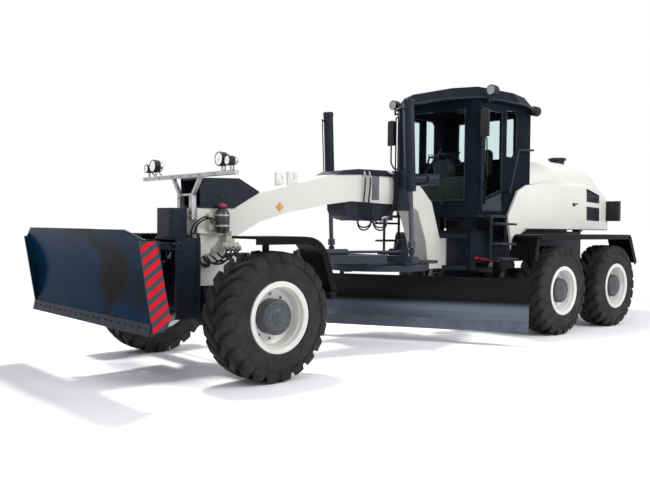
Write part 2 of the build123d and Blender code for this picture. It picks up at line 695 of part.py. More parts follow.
tooth_pitch = 2 * math.pi * CIRCLE_IN_R / TEETH
with BuildPart() as circle:
    with Locations((at_x(CIRCLE_X), 0, CIRCLE_TOP_Z - CIRCLE_T / 2)):
        Cylinder(CIRCLE_OUT_R, CIRCLE_T)
        Cylinder(CIRCLE_IN_R, CIRCLE_T, mode=Mode.SUBTRACT)
    # Inner gear: a band of teeth along the ring's lower edge
    with BuildSketch(Plane.XY.offset(CIRCLE_TOP_Z - CIRCLE_T)):
        with Locations((at_x(CIRCLE_X), 0)):
            with PolarLocations(CIRCLE_IN_R - TOOTH_DEPTH / 2 + 4, TEETH):
                Trapezoid(TOOTH_DEPTH + 8, tooth_pitch * 0.62, 76, rotation=90)
    extrude(amount=TOOTH_H)
    for side in (1, -1):
        with BuildSketch(blade_plane(side * (LEG_S + LEG_T / 2))):
            Polygon((-455, CIRCLE_TOP_Z - CIRCLE_T + 10), (-330, CIRCLE_TOP_Z - CIRCLE_T + 10),
                    (-345, TIP_Z - 60), (-455, TIP_Z - 60), align=None)
        extrude(amount=LEG_T / 2, both=True)
pieces["circle"] = circle

# Blade carrier between the legs
with BuildPart() as blade_carrier:
    with BuildSketch(Plane(origin=circle_centre + left * (LEG_S - GAP) + ahead * TIP_N
                           + Vector(0, 0, TIP_Z), z_dir=-left)):
        Circle(48)
    extrude(amount=2 * (LEG_S - GAP))
    for side in (1, -1):
        with BuildSketch(blade_plane(side * 430)):
            Polygon((TIP_N, TIP_Z + 48), (TIP_N, TIP_Z - 48), (RAIL_BACK_N - GAP, 380),
                    (RAIL_BACK_N - GAP, 740), align=None)
        extrude(amount=60, both=True)
pieces["blade_carrier"] = blade_carrier

# Moldboard: curved plate with its slide rails, and the cutting edge
mid_z = (MOLD_TOP_Z + MOLD_LOW_Z + EDGE_H) / 2
with BuildPart() as moldboard:
    with BuildSketch(blade_plane(MOLD_LEFT)):
        with BuildLine():
            face = ThreePointArc((MOLD_N, MOLD_TOP_Z), (MOLD_N - MOLD_SAG, mid_z),
                                 (MOLD_N - 20, MOLD_LOW_Z + EDGE_H))
            foot_line = Line(face @ 1, (MOLD_N - 20 - MOLD_T, MOLD_LOW_Z + EDGE_H))
            rear_arc = ThreePointArc(foot_line @ 1, (MOLD_N - MOLD_SAG - MOLD_T, mid_z),
                                     (MOLD_N - MOLD_T, MOLD_TOP_Z))
            Line(rear_arc @ 1, face @ 0)
        make_face()
    extrude(amount=MOLD_RIGHT + MOLD_LEFT)
    for z, seat_n in ((420, -200), (700, -248)):
        with BuildSketch(blade_plane(0)):
            Polygon((RAIL_BACK_N, z - 25), (seat_n, z - 25), (seat_n, z + 25),
                    (RAIL_BACK_N, z + 25), align=None)
        extrude(amount=1500, both=True)
pieces["moldboard"] = moldboard
with BuildPart() as cutting_edge:
    with BuildSketch(blade_plane(MOLD_LEFT)):
        Polygon((MOLD_N - 20, MOLD_LOW_Z + EDGE_H), (MOLD_N - 20 - MOLD_T, MOLD_LOW_Z + EDGE_H),
                (MOLD_N - 12, MOLD_LOW_Z), (MOLD_N + 12, MOLD_LOW_Z), align=None)
    extrude(amount=MOLD_RIGHT + MOLD_LEFT)
pieces["cutting_edge"] = cutting_edge

# Rear frame: rails, cross walls, hitch forks and cab mounts
rail_in = RAIL_Y - RAIL_W
with BuildPart() as rear_frame:
    for name, side in SIDES:
        box_between(RAIL_FRONT_X, RAIL_REAR_X, side * rail_in, side * RAIL_Y,
                    RAIL_LOW_Z, RAIL_TOP_Z)
        for x in (-4700, -5400):
            box_between(x - 60, x + 60, side * rail_in, side * RAIL_Y, RAIL_TOP_Z, CAB_FLOOR_Z)
    for x in (RAIL_FRONT_X, -5700, RAIL_REAR_X + 120):
        box_between(x, x - 120, -RAIL_Y, RAIL_Y, RAIL_LOW_Z, RAIL_TOP_Z)
    for low in (HITCH_LOW_Z - PIVOT_GAP - FORK_PLATE_T, HITCH_TOP_Z + PIVOT_GAP):
        with BuildSketch(Plane.XY.offset(low)):
            Polygon((at_x(HITCH_X), HITCH_R), (at_x(HITCH_X), -HITCH_R),
                    (at_x(RAIL_FRONT_X - 100), -RAIL_Y), (at_x(RAIL_FRONT_X - 100), RAIL_Y),
                    align=None)
            with Locations((at_x(HITCH_X), 0)):
                Circle(HITCH_R)
        extrude(amount=FORK_PLATE_T)
    box_between(RAIL_FRONT_X, RAIL_FRONT_X - 100, -RAIL_Y, RAIL_Y,
                HITCH_LOW_Z - PIVOT_GAP - FORK_PLATE_T, RAIL_TOP_Z)
    bar((at_x(HITCH_X), 0, HITCH_LOW_Z - PIVOT_GAP - FORK_PLATE_T),
        (at_x(HITCH_X), 0, HITCH_TOP_Z + PIVOT_GAP + FORK_PLATE_T + 15), HITCH_PIN_R)
    for name, side in SIDES:
        for front, rear in ((-5580, -5640), (-7900, -8010)):
            box_between(front, rear, side * rail_in, side * RAIL_Y, RAIL_TOP_Z, HOOD_LOW_Z)
    for low in (TOW_LOW_Z, TOW_LOW_Z + TOW_H - TOW_T):
        box_between(RAIL_REAR_X, RAIL_REAR_X - 100, -60, 60, low, low + TOW_T)
    with Locations((at_x(RAIL_REAR_X - 50), 0, TOW_LOW_Z + TOW_H / 2)):
        Cylinder(TOW_R, TOW_H + 2, mode=Mode.SUBTRACT)
pieces["rear_frame"] = rear_frame

# Rear axle and tandem cases
TANDEM_IN_Y = 660
TANDEM_OUT_Y = 920
TANDEM_R = 215
REAR_BOWL_R = 260
REAR_BOWL_HALF = 160
with BuildPart() as rear_axle:
    bar((at_x(-WHEELBASE), -TANDEM_IN_Y, AXLE_Z), (at_x(-WHEELBASE), TANDEM_IN_Y, AXLE_Z), 150)
    banjo(-WHEELBASE, REAR_BOWL_R, REAR_BOWL_HALF, BOWL_NOSE)
    for name, side in SIDES:
        box_between(-WHEELBASE - 130, -WHEELBASE + 130, side * rail_in, side * RAIL_Y,
                    AXLE_Z, RAIL_LOW_Z)
pieces["rear_axle"] = rear_axle
with BuildPart() as tandem_cases:
    for name, side in SIDES:
        with BuildSketch(side_plane(side * (TANDEM_IN_Y + TANDEM_OUT_Y) / 2)):
            with Locations((-WHEELBASE, AXLE_Z)):
                SlotCenterToCenter(TANDEM_SPACING, 2 * TANDEM_R)
        extrude(amount=(TANDEM_OUT_Y - TANDEM_IN_Y) / 2, both=True)
        for x in (MID_AXLE_X, REAR_AXLE_X):
            bar((at_x(x), side * (TANDEM_OUT_Y - 10), AXLE_Z), (at_x(x), side * hub_face_y, AXLE_Z),
                120)
pieces["tandem_cases"] = tandem_cases

# Rear fenders with their brackets to the rails
REAR_FENDER_TOP_Z = 1560
with BuildPart() as rear_fenders:
    for name, side in SIDES:
        with BuildSketch(side_plane(side * (FENDER_IN_Y + FENDER_OUT_Y) / 2)):
            with BuildLine() as run:
                FilletPolyline(
                    (-4790, 1170),
                    (-4870, REAR_FENDER_TOP_Z - FENDER_T / 2),
                    (-7820, REAR_FENDER_TOP_Z - FENDER_T / 2),
                    (-8060, 1070),
                    radius=110,
                )
            trace(run.line, line_width=FENDER_T)
        extrude(amount=(FENDER_OUT_Y - FENDER_IN_Y) / 2, both=True)
        for x in (-5460, -7600):
            box_between(x - 50, x + 50, side * RAIL_Y, side * (FENDER_IN_Y + 150),
                        REAR_FENDER_TOP_Z - FENDER_T - 50, REAR_FENDER_TOP_Z - FENDER_T)
pieces["rear_fenders"] = rear_fenders

# Hood: lower body with front legs, and the raised centre
HOOD_FRONT_X = -5560
HOOD_REAR_X = -8040
HOOD_ROOF_Z = 2280
hood_side = (
    (HOOD_FRONT_X, HOOD_LOW_Z), (HOOD_FRONT_X, 2345), (-6100, 2430), (-7200, 2440), (-7780, 2330),
    (-8000, 2130), (HOOD_REAR_X, HOOD_LOW_Z),
)
hood_crown = (
    (-5740, 2140), (-5810, 2725), (-6100, 2752), (-6750, 2745), (-7250, 2670), (-7700, 2500),
    (-7980, 2290), (-7980, 2140),
)
flank = (
    (HOOD_FRONT_X, HOOD_LOW_Z), (-5405, HOOD_LOW_Z), (-5230, 1560), (-5150, 1312), (-5000, 1312),
    (-4880, 1828), (-5135, 2229), (-5383, 2335), (HOOD_FRONT_X, 2345),
)
# Two louvred vents near the tail: outline, and the heights of its slats
vents = (
    (((-7260, 2350), (-7690, 2250), (-7695, 2120), (-7268, 2135)), (2170, 2210, 2250)),
    (((-7272, 2037), (-7698, 2020), (-7704, 1800), (-7280, 1812)), (1850, 1895, 1940, 1985)),
)
with BuildPart() as hood:
    plate_from(hood_side, 0, 2 * HOOD_HALF_Y)
    chamfer(hood.edges().filter_by(Axis.X, tolerance=8).filter_by_position(
        Axis.Z, 2340, 2445), length=HOOD_CHAMFER)
    with BuildSketch(side_plane(0)):
        Polygon(*hood_crown, align=None)
    extrude(amount=HOOD_TOP_HALF_Y, both=True, taper=12)
    for name, side in SIDES:
        plate_from(flank, side * (HOOD_HALF_Y - HOOD_WALL / 2), HOOD_WALL)
    with BuildSketch(Plane.XY.offset(HOOD_LOW_Z)):
        with Locations((at_x((HOOD_FRONT_X + HOOD_REAR_X) / 2), 0)):
            Rectangle(HOOD_FRONT_X - HOOD_REAR_X - 4 * HOOD_WALL, 2 * (HOOD_HALF_Y - HOOD_WALL))
    extrude(amount=HOOD_ROOF_Z - HOOD_LOW_Z, mode=Mode.SUBTRACT)
    for name, side in SIDES:
        for outline, heights in vents:
            plate_from(outline, side * HOOD_HALF_Y, 2 * VENT_DEPTH, Mode.SUBTRACT)
            for z in heights:
                box_between(outline[0][0], outline[1][0], side * (HOOD_HALF_Y - VENT_DEPTH),
                            side * (HOOD_HALF_Y - SLAT_T), z, z + SLAT_T)
    with Locations((at_x(FILLER_X), FILLER_Y, 2700)):
        Cylinder(FILLER_R, 140)
        with Locations((0, 0, 62)):
            Cylinder(FILLER_R + 25, 30)
pieces["hood"] = hood
with BuildPart() as engine_block:
    box_between(-5900, -7500, RAIL_W - RAIL_Y, RAIL_Y - RAIL_W, 1150, RAIL_TOP_Z)
    box_between(-5900, -7500, -380, 380, RAIL_TOP_Z, HOOD_ROOF_Z - 80)
pieces["engine_block"] = engine_block

# Cab shell: outline in plan, walls with window and door openings
cab_plan = (
    (CAB_FRONT_X, CAB_NOSE_Y), (CAB_FRONT_X - CAB_NOSE_L, CAB_HALF_Y), (CAB_REAR_X, CAB_HALF_Y),
    (CAB_REAR_X, -CAB_HALF_Y), (CAB_FRONT_X - CAB_NOSE_L, -CAB_HALF_Y), (CAB_FRONT_X, -CAB_NOSE_Y),
)
cab_points = [(at_x(x), y) for x, y in cab_plan]
FRONT_WINDOW = (600, 2060, 3440)
REAR_WINDOW = (600, 2780, 3440)
QUARTER_WINDOW = (-4880, -5150, 2740, 3460)
QUARTER_CUT = 60


def quarter_outline(inset):
    """Rear side window with its rear corners cut off, all edges moved in by inset."""
    front, rear, low, high = QUARTER_WINDOW
    front, rear, low, high = front - inset, rear + inset, low + inset, high - inset
    return ((front, low), (front, high), (rear + QUARTER_CUT, high), (rear, high - QUARTER_CUT),
            (rear, low + QUARTER_CUT), (rear + QUARTER_CUT, low))


hinge_x = at_x(DOOR_REAR_X + DOOR_CLEAR)
hinge_y = CAB_HALF_Y + HINGE_R + GAP
with BuildPart() as cab_shell:
    with BuildSketch(Plane.XY.offset(CAB_FLOOR_Z)):
        Polygon(*cab_points, align=None)
    extrude(amount=CAB_TOP_Z - CAB_FLOOR_Z)
    with BuildSketch(Plane.XY.offset(CAB_FLOOR_Z + CAB_WALL)):
        Polygon(*cab_points, align=None)
        offset(amount=-CAB_WALL, mode=Mode.REPLACE, kind=Kind.INTERSECTION)
    extrude(amount=CAB_TOP_Z - CAB_FLOOR_Z, mode=Mode.SUBTRACT)
    half, low, high = FRONT_WINDOW
    with Locations((at_x(CAB_FRONT_X - CAB_WALL / 2), 0, (low + high) / 2)):
        Box(CAB_WALL * 1.5, 2 * half, high - low, mode=Mode.SUBTRACT)
    half, low, high = REAR_WINDOW
    with Locations((at_x(CAB_REAR_X + CAB_WALL / 2), 0, (low + high) / 2)):
        Box(CAB_WALL * 1.5, 2 * half, high - low, mode=Mode.SUBTRACT)
    plate_from(quarter_outline(0), 0, 2 * CAB_HALF_Y + 10, Mode.SUBTRACT)
    with Locations((at_x((DOOR_FRONT_X + DOOR_REAR_X) / 2), 0, (DOOR_LOW_Z + DOOR_TOP_Z) / 2)):
        Box(DOOR_FRONT_X - DOOR_REAR_X, 2 * CAB_HALF_Y + 10, DOOR_TOP_Z - DOOR_LOW_Z,
            mode=Mode.SUBTRACT)
    for name, side in SIDES:
        for z in HINGE_Z:
            low = z + HINGE_H + GAP
            bar((hinge_x, side * hinge_y, low), (hinge_x, side * hinge_y, low + HINGE_H / 2),
                HINGE_R)
            box_between(DOOR_REAR_X + DOOR_CLEAR, DOOR_REAR_X - HINGE_LEAF,
                        side * (CAB_HALF_Y - 5), side * hinge_y, low, low + HINGE_H / 2)
pieces["cab_shell"] = cab_shell

with BuildPart() as cab_glass:
    half, low, high = FRONT_WINDOW
    with Locations((at_x(CAB_FRONT_X - CAB_WALL / 2), 0, (low + high) / 2)):
        Box(GLASS_T, 2 * half - 2 * GAP, high - low - 2 * GAP)
    half, low, high = REAR_WINDOW
    with Locations((at_x(CAB_REAR_X + CAB_WALL / 2), 0, (low + high) / 2)):
        Box(GLASS_T, 2 * half - 2 * GAP, high - low - 2 * GAP)
    for name, side in SIDES:
        plate_from(quarter_outline(GAP), side * (CAB_HALF_Y - CAB_WALL / 2), GLASS_T)
pieces["cab_glass"] = cab_glass

roof_plan = (
    (-3960, 420), (-4180, 860), (-5100, 930), (-5680, 800), (-5680, -800), (-5100, -930),
    (-4180, -860), (-3960, -420),
)
with BuildPart() as cab_roof:
    with BuildSketch(Plane.XY.offset(CAB_TOP_Z)):
        Polygon(*[(at_x(x), y) for x, y in roof_plan], align=None)
    extrude(amount=190, taper=35)
pieces["cab_roof"] = cab_roof

# Doors, hinged at their rear edge
WINDOW_INSET = 45
DOOR_SILL_FRONT_Z = 2080
DOOR_SILL_REAR_Z = 2230
door_front, door_rear = DOOR_FRONT_X - DOOR_CLEAR, DOOR_REAR_X + DOOR_CLEAR
door_low, door_high = DOOR_LOW_Z + DOOR_CLEAR, DOOR_TOP_Z - DOOR_CLEAR


def door_window(inset):
    """Door window outline, all edges moved in by inset."""
    front, rear = door_front - WINDOW_INSET - inset, door_rear + WINDOW_INSET + inset
    top = door_high - WINDOW_INSET - inset
    return ((front, DOOR_SILL_FRONT_Z + 1.1 * inset), (front, top), (rear, top),
            (rear, DOOR_SILL_REAR_Z + 1.1 * inset))


for name, side in SIDES:
    y_out, y_in = side * CAB_HALF_Y, side * (CAB_HALF_Y - DOOR_T)
    with BuildPart() as door:
        box_between(door_rear, door_front, y_in, y_out, door_low, door_high)
        plate_from(door_window(0), (y_in + y_out) / 2, 2 * DOOR_T, Mode.SUBTRACT)
        for z in HINGE_Z:
            bar((at_x(door_rear), side * hinge_y, z), (at_x(door_rear), side * hinge_y,
                z + HINGE_H), HINGE_R)
            box_between(door_rear, door_rear + HINGE_LEAF, side * (CAB_HALF_Y - 5),
                        side * hinge_y, z, z + HINGE_H)
        box_between(door_front - 25, door_front - 50, y_out, y_out + side * 30, 2000, 2040)
        box_between(door_front - 25, door_front - 50, y_out, y_out + side * 30, 2300, 2340)
        box_between(door_front - 25, door_front - 50, y_out + side * 30, y_out + side * 50,
                    2000, 2340)
    pieces["door_" + name] = door
    with BuildPart() as door_glass:
        plate_from(door_window(GAP), (y_in + y_out) / 2, GLASS_T)
    pieces["door_glass_" + name] = door_glass

# Seat and steering console
floor_top = CAB_FLOOR_Z + CAB_WALL
with BuildPart() as operator_seat:
    box_between(-4900, -5300, -180, 180, floor_top, floor_top + 380)
    box_between(-4820, -5340, -250, 250, floor_top + 380, floor_top + 500)
    plate_from(((-5250, floor_top + 490), (-5370, floor_top + 490), (-5450, floor_top + 1120),
                (-5340, floor_top + 1120)), 0, 480)
pieces["operator_seat"] = operator_seat
with BuildPart() as steering_console:
    plate_from(((-4330, floor_top), (-4560, floor_top), (-4500, floor_top + 800),
                (-4330, floor_top + 850)), 0, 300)
    with BuildSketch(Plane(origin=(at_x(-4520), 0, floor_top + 860), z_dir=(-0.5, 0, 1))):
        Circle(200)
        Circle(172, mode=Mode.SUBTRACT)
        Rectangle(30, 360)
    extrude(amount=26)
    bar((at_x(-4450), 0, floor_top + 700), (at_x(-4525), 0, floor_top + 868), 30)
pieces["steering_console"] = steering_console

# Steps under both doors
with BuildPart() as cab_steps:
    for name, side in SIDES:
        for z, x in ((1690, -4360), (1400, -4360), (1180, -4420)):
            box_between(x - 200, x + 200, side * 1050, side * 1250, z, z + 30)
        for x in (-4180, -4540):
            box_between(x - 15, x + 15, side * 1050, side * 1080, 1180, CAB_FLOOR_Z + 20)
        box_between(-4160, -4560, side * (CAB_HALF_Y), side * 1080, CAB_FLOOR_Z, CAB_FLOOR_Z + 40)
pieces["cab_steps"] = cab_steps

# Mirrors and roof lamps
MIRROR_X = -4180
STALK_X = CAB_FRONT_X - CAB_NOSE_L - 18
mirror_y = CAB_HALF_Y + 110
with BuildPart() as mirrors:
    for name, side in SIDES:
        box_between(MIRROR_X - 30, MIRROR_X + 30, side * (mirror_y - 70), side * (mirror_y + 70),
                    2960, 3400)
        bent_tube([(at_x(x), side * y, z) for x, y, z in (
            (STALK_X, CAB_HALF_Y + GAP, 2600), (STALK_X, mirror_y - 40, 2600),
            (MIRROR_X, mirror_y, 2720), (MIRROR_X, mirror_y, 2990))], 14)
pieces["mirrors"] = mirrors

# Grab rail behind each door
RAIL_R = 17
rail_y = CAB_HALF_Y + 75
rail_run = ((DOOR_REAR_X - 70, 2200), (-5110, 2860), (-5510, 2890))
with BuildPart() as grab_rails:
    for name, side in SIDES:
        run = [(at_x(x), side * rail_y, z) for x, z in rail_run]
        feet = [(x, side * (CAB_HALF_Y + GAP), z) for x, y, z in (run[0], run[2])]
        bent_tube([feet[0], *run, feet[1]], RAIL_R)
pieces["grab_rails"] = grab_rails
with BuildPart() as roof_lamps:
    for name, side in SIDES:
        for x, y, z in ((-4310, CAB_HALF_Y + 150, 3670), (-5500, CAB_HALF_Y + 110, 3500)):
            bar((at_x(x - 50), side * y, z), (at_x(x + 60), side * y, z), 75)
            bar((at_x(x), side * CAB_HALF_Y, 3520), (at_x(x), side * y, 3520), 16)
            bar((at_x(x), side * y, 3504), (at_x(x), side * y, z), 16)
pieces["roof_lamps"] = roof_lamps
with BuildPart() as tail_lamps:
    for name, side in SIDES:
        box_between(-7960, -8040, side * HOOD_HALF_Y, side * (HOOD_HALF_Y + 240), 1800, 2160)
pieces["tail_lamps"] = tail_lamps

for label, piece in pieces.items():
    piece.part.label = label
    export_step(piece.part, f"parts/{label}.step")
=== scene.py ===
"""Looks of the motor grader: camera, light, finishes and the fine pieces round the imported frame.

Metres, in the frame's own axes: +X forward, +Y to the machine's left, +Z up.
"""
import json
from math import copysign, cos, exp, hypot, pi, radians, sin, sqrt, tau

import bmesh
import bpy
from mathutils import Matrix, Vector


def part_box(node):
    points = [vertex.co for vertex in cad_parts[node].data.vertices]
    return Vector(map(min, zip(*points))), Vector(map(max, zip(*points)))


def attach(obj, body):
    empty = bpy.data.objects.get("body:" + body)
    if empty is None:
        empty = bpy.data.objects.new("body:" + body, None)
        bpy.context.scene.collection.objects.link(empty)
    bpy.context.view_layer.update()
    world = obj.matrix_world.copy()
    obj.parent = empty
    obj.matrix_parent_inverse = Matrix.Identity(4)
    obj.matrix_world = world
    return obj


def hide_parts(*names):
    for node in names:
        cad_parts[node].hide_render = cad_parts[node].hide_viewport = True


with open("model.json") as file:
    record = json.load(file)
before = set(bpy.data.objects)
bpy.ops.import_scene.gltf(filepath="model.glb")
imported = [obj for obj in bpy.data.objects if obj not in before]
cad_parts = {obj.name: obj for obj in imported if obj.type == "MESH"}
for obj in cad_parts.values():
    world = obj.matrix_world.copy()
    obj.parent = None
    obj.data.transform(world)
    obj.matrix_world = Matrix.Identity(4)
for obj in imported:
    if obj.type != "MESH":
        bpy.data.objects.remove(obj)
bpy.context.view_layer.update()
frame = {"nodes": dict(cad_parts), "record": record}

SIDES = (("left", 1), ("right", -1))
WAYS = (1, -1)
BODY_OF = {n: b for b, members in frame["record"]["behaviour"]["bodies"].items() for n in members}
SLOT_OF = {p["node"]: p["material_slot"] for p in frame["record"]["subparts"]}


def middle(node):
    """Centre of a node's box."""
    low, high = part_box(node)
    return (low + high) / 2


FRONT_AXLE_X = middle("tyre_front_left").x


# Camera and light
CAMERA_AT = Vector((FRONT_AXLE_X + 4.7061, 7.329, 1.6354))
CAMERA_YAW = radians(-132.0098)
CAMERA_PITCH = radians(-1.3422)
CAMERA_ROLL = radians(0.6624)
SENSOR_WIDTH = 36
FOCAL_LENGTH = 40.4
SKY_COLOR = (0.93, 0.95, 1, 1)
SKY_LEVEL = 0.42
SEEN_AS_WHITE = 1
FLOOR_HALF = 60
FLOOR_DROP = 0.002
FLOOR_FADE = (6.5, 11)
FLOOR_IN_BOUNCES = (0.8, 0.8, 0.8, 1)
FLOOR_SEEN = (1.42, 1.42, 1.43, 1)


def linked(name, data):
    """New object of the scene with this data."""
    obj = bpy.data.objects.new(name, data)
    bpy.context.scene.collection.objects.link(obj)
    return obj


def make_camera():
    """Camera fitted to the photograph, with its small roll."""
    ahead = Vector((cos(CAMERA_PITCH) * cos(CAMERA_YAW), cos(CAMERA_PITCH) * sin(CAMERA_YAW),
        sin(CAMERA_PITCH)))
    right = ahead.cross(Vector((0, 0, 1))).normalized()
    up = right.cross(ahead)
    turned_right = right * cos(CAMERA_ROLL) + up * sin(CAMERA_ROLL)
    turned_up = up * cos(CAMERA_ROLL) - right * sin(CAMERA_ROLL)
    data = bpy.data.cameras.new("camera")
    data.lens = FOCAL_LENGTH
    data.sensor_width = SENSOR_WIDTH
    camera = linked("camera", data)
    camera.matrix_world = Matrix.Translation(CAMERA_AT) @ Matrix((turned_right, turned_up,
        -ahead)).transposed().to_4x4()
    bpy.context.scene.camera = camera


def area_light(name, at, target, size, power):
    data = bpy.data.lights.new(name, "AREA")
    data.shape = "DISK"
    data.size = size
    data.energy = power
    lamp = linked(name, data)
    lamp.location = at
    lamp.rotation_euler = (Vector(target) - Vector(at)).to_track_quat("-Z", "Y").to_euler()


def feed(node, inputs):
    """Sets a shader node's inputs: each to a value, or from the node or socket that feeds it."""
    for key, source in inputs.items():
        if isinstance(source, bpy.types.Node):
            source = source.outputs[0]
        if isinstance(source, bpy.types.NodeSocket):
            node.id_data.links.new(source, node.inputs[key])
        else:
            node.inputs[key].default_value = source


def add_node(tree, kind, inputs=None, **settings):
    """New node of a shader tree."""
    node = tree.nodes.new("ShaderNode" + kind)
    for key, value in settings.items():
        setattr(node, key, value)
    feed(node, inputs or {})
    return node


def new_material(name):
    """Material and its shader tree."""
    material = bpy.data.materials.new(name)
    material.use_nodes = True
    return material, material.node_tree


def local_place(tree):
    """Socket with a surface point in its object's axes."""
    return add_node(tree, "TexCoord").outputs["Object"]


def local_xyz(tree):
    """Sockets X, Y and Z of that point."""
    return add_node(tree, "SeparateXYZ", {0: local_place(tree)}).outputs


def seen_directly(tree):
    """Socket that is 1 for camera, glossy and transmission rays."""
    path = add_node(tree, "LightPath")
    total = path.outputs["Is Camera Ray"]
    for kind in ("Is Glossy Ray", "Is Transmission Ray"):
        total = add_node(tree, "Math", {0: total, 1: path.outputs[kind]}, operation="MAXIMUM")
    return total


def make_world():
    world = bpy.data.worlds.new("studio")
    bpy.context.scene.world = world
    world.use_nodes = True
    tree = world.node_tree
    tree.nodes.clear()
    sky = add_node(tree, "Background", {"Color": SKY_COLOR, "Strength": SKY_LEVEL})
    white = add_node(tree, "Background", {"Color": (1, 1, 1, 1), "Strength": SEEN_AS_WHITE})
    mix = add_node(tree, "MixShader", {0: seen_directly(tree), 1: sky, 2: white})
    add_node(tree, "OutputWorld", {0: mix})


def make_floor():
    """Ground that takes the shadow near the machine and fades to plain white further out."""
    mesh = bpy.data.meshes.new("floor")
    corners = [(x * FLOOR_HALF, y * FLOOR_HALF, 0) for x, y in ((-1, -1), (1, -1), (1, 1), (-1, 1))]
    mesh.from_pydata(corners, [], [(0, 1, 2, 3)])
    floor = linked("floor", mesh)
    floor.location.z = -FLOOR_DROP
    material, tree = new_material("floor")
    tree.nodes.clear()
    shade = add_node(tree, "MixRGB", {0: seen_directly(tree), 1: FLOOR_IN_BOUNCES, 2: FLOOR_SEEN})
    matt = add_node(tree, "BsdfDiffuse", {"Color": shade})
    white = add_node(tree, "Emission", {"Strength": SEEN_AS_WHITE})
    length = add_node(tree, "VectorMath", {0: local_place(tree)}, operation="LENGTH")
    near, far = FLOOR_FADE
    fade = add_node(tree, "MapRange", {0: length.outputs["Value"], "From Min": near,
        "From Max": far}, interpolation_type="SMOOTHSTEP")
    add_node(tree, "OutputMaterial", {0: add_node(tree, "MixShader", {0: fade, 1: matt, 2: white})})
    mesh.materials.append(material)


bpy.context.scene.view_settings.view_transform = "Standard"
make_camera()
make_world()
make_floor()
area_light("key", (-2, 9, 6.5), (-0.5, 0, 1.2), 5, 480)
area_light("top", (1.8, -1.6, 10), (-0.3, 0, 0), 1.6, 620)
area_light("front", (9.5, 5.5, 6.5), (1.5, 0, 1), 4, 110)
area_light("far_fill", (-2, -9.5, 5), (0, 0, 1.2), 6, 120)


# Finishes
EDGE_RADIUS = 0.006
COAT_ROUGHNESS = 0.06
BUMP_DEPTH = 0.02
BLACK, WHITE = (0, 0, 0), (1, 1, 1)


def noise(tree, scale, detail=3, rough=0.55):
    """Cloudy value over the object."""
    return add_node(tree, "TexNoise", {"Vector": local_place(tree), "Scale": scale,
        "Detail": detail, "Roughness": rough}).outputs["Fac"]


def ramp(tree, fac, low, high, low_color=BLACK, high_color=WHITE):
    """Goes from one colour to the other while fac goes from low to high."""
    node = add_node(tree, "ValToRGB", {0: fac})
    first, last = node.color_ramp.elements
    first.position, last.position = low, high
    first.color, last.color = (*low_color, 1), (*high_color, 1)
    return node


def mixed(tree, fac, under, over_color):
    """Lays a colour over what is under it, by fac."""
    return add_node(tree, "MixRGB", {0: fac, 1: under, 2: (*over_color, 1)})


def shaded(color, factor):
    return tuple(min(1, c * factor) for c in color)


def finish(name, color, metal=0, rough=0.4, coat=0, patches=(1.6, 0.94, 1.04), grain=(220, 0.02),
        rough_spread=0.08, worn=None, dust=None, shine=0.5):
    """Procedural surface: colour in patches, roughness that varies, fine bump, worn edges, dust."""
    material, tree = new_material(name)
    scale, dark, light = patches
    tone = ramp(tree, noise(tree, scale), 0.35, 0.68, shaded(color, dark), shaded(color, light))
    if worn:
        worn_color, amount = worn
        edge = ramp(tree, add_node(tree, "NewGeometry").outputs["Pointiness"], 0.515, 0.56)
        speckle = ramp(tree, noise(tree, 38, 6), 0.5, 0.66, BLACK, (amount,) * 3)
        spot = add_node(tree, "MixRGB", {0: 1, 1: edge, 2: speckle}, blend_type="MULTIPLY")
        tone = mixed(tree, spot, tone, worn_color)
    if dust:
        dust_color, amount, top = dust
        height = add_node(tree, "MapRange", {0: local_xyz(tree)["Z"], "From Min": top,
            "From Max": 0, "To Max": amount})
        cloud = ramp(tree, noise(tree, 7, 8, 0.65), 0.38, 0.7)
        veil = add_node(tree, "Math", {0: height, 1: cloud}, operation="MULTIPLY")
        tone = mixed(tree, veil, tone, dust_color)
    spread = add_node(tree, "MapRange", {0: noise(tree, 9, 5), "To Min": rough - rough_spread,
        "To Max": rough + rough_spread})
    grain_scale, grain_strength = grain
    rounded = add_node(tree, "Bevel", {"Radius": EDGE_RADIUS}, samples=4)
    bump = add_node(tree, "Bump", {"Strength": grain_strength, "Distance": BUMP_DEPTH,
        "Height": noise(tree, grain_scale, 2), "Normal": rounded})
    shader = tree.nodes["Principled BSDF"]
    feed(shader, {"Metallic": metal, "Specular IOR Level": shine, "Base Color": tone,
        "Roughness": spread, "Normal": bump})
    if coat:
        feed(shader, {"Coat Weight": coat, "Coat Roughness": COAT_ROUGHNESS})
    return material


def glass(name, color):
    """Tinted panes, clear enough to see the seat through."""
    material = finish(name, color, rough=0, rough_spread=0, patches=(1, 0.98, 1),
        grain=(3, 0), shine=0.4)
    feed(material.node_tree.nodes["Principled BSDF"], {"Transmission Weight": 1, "IOR": 1.03})
    return material


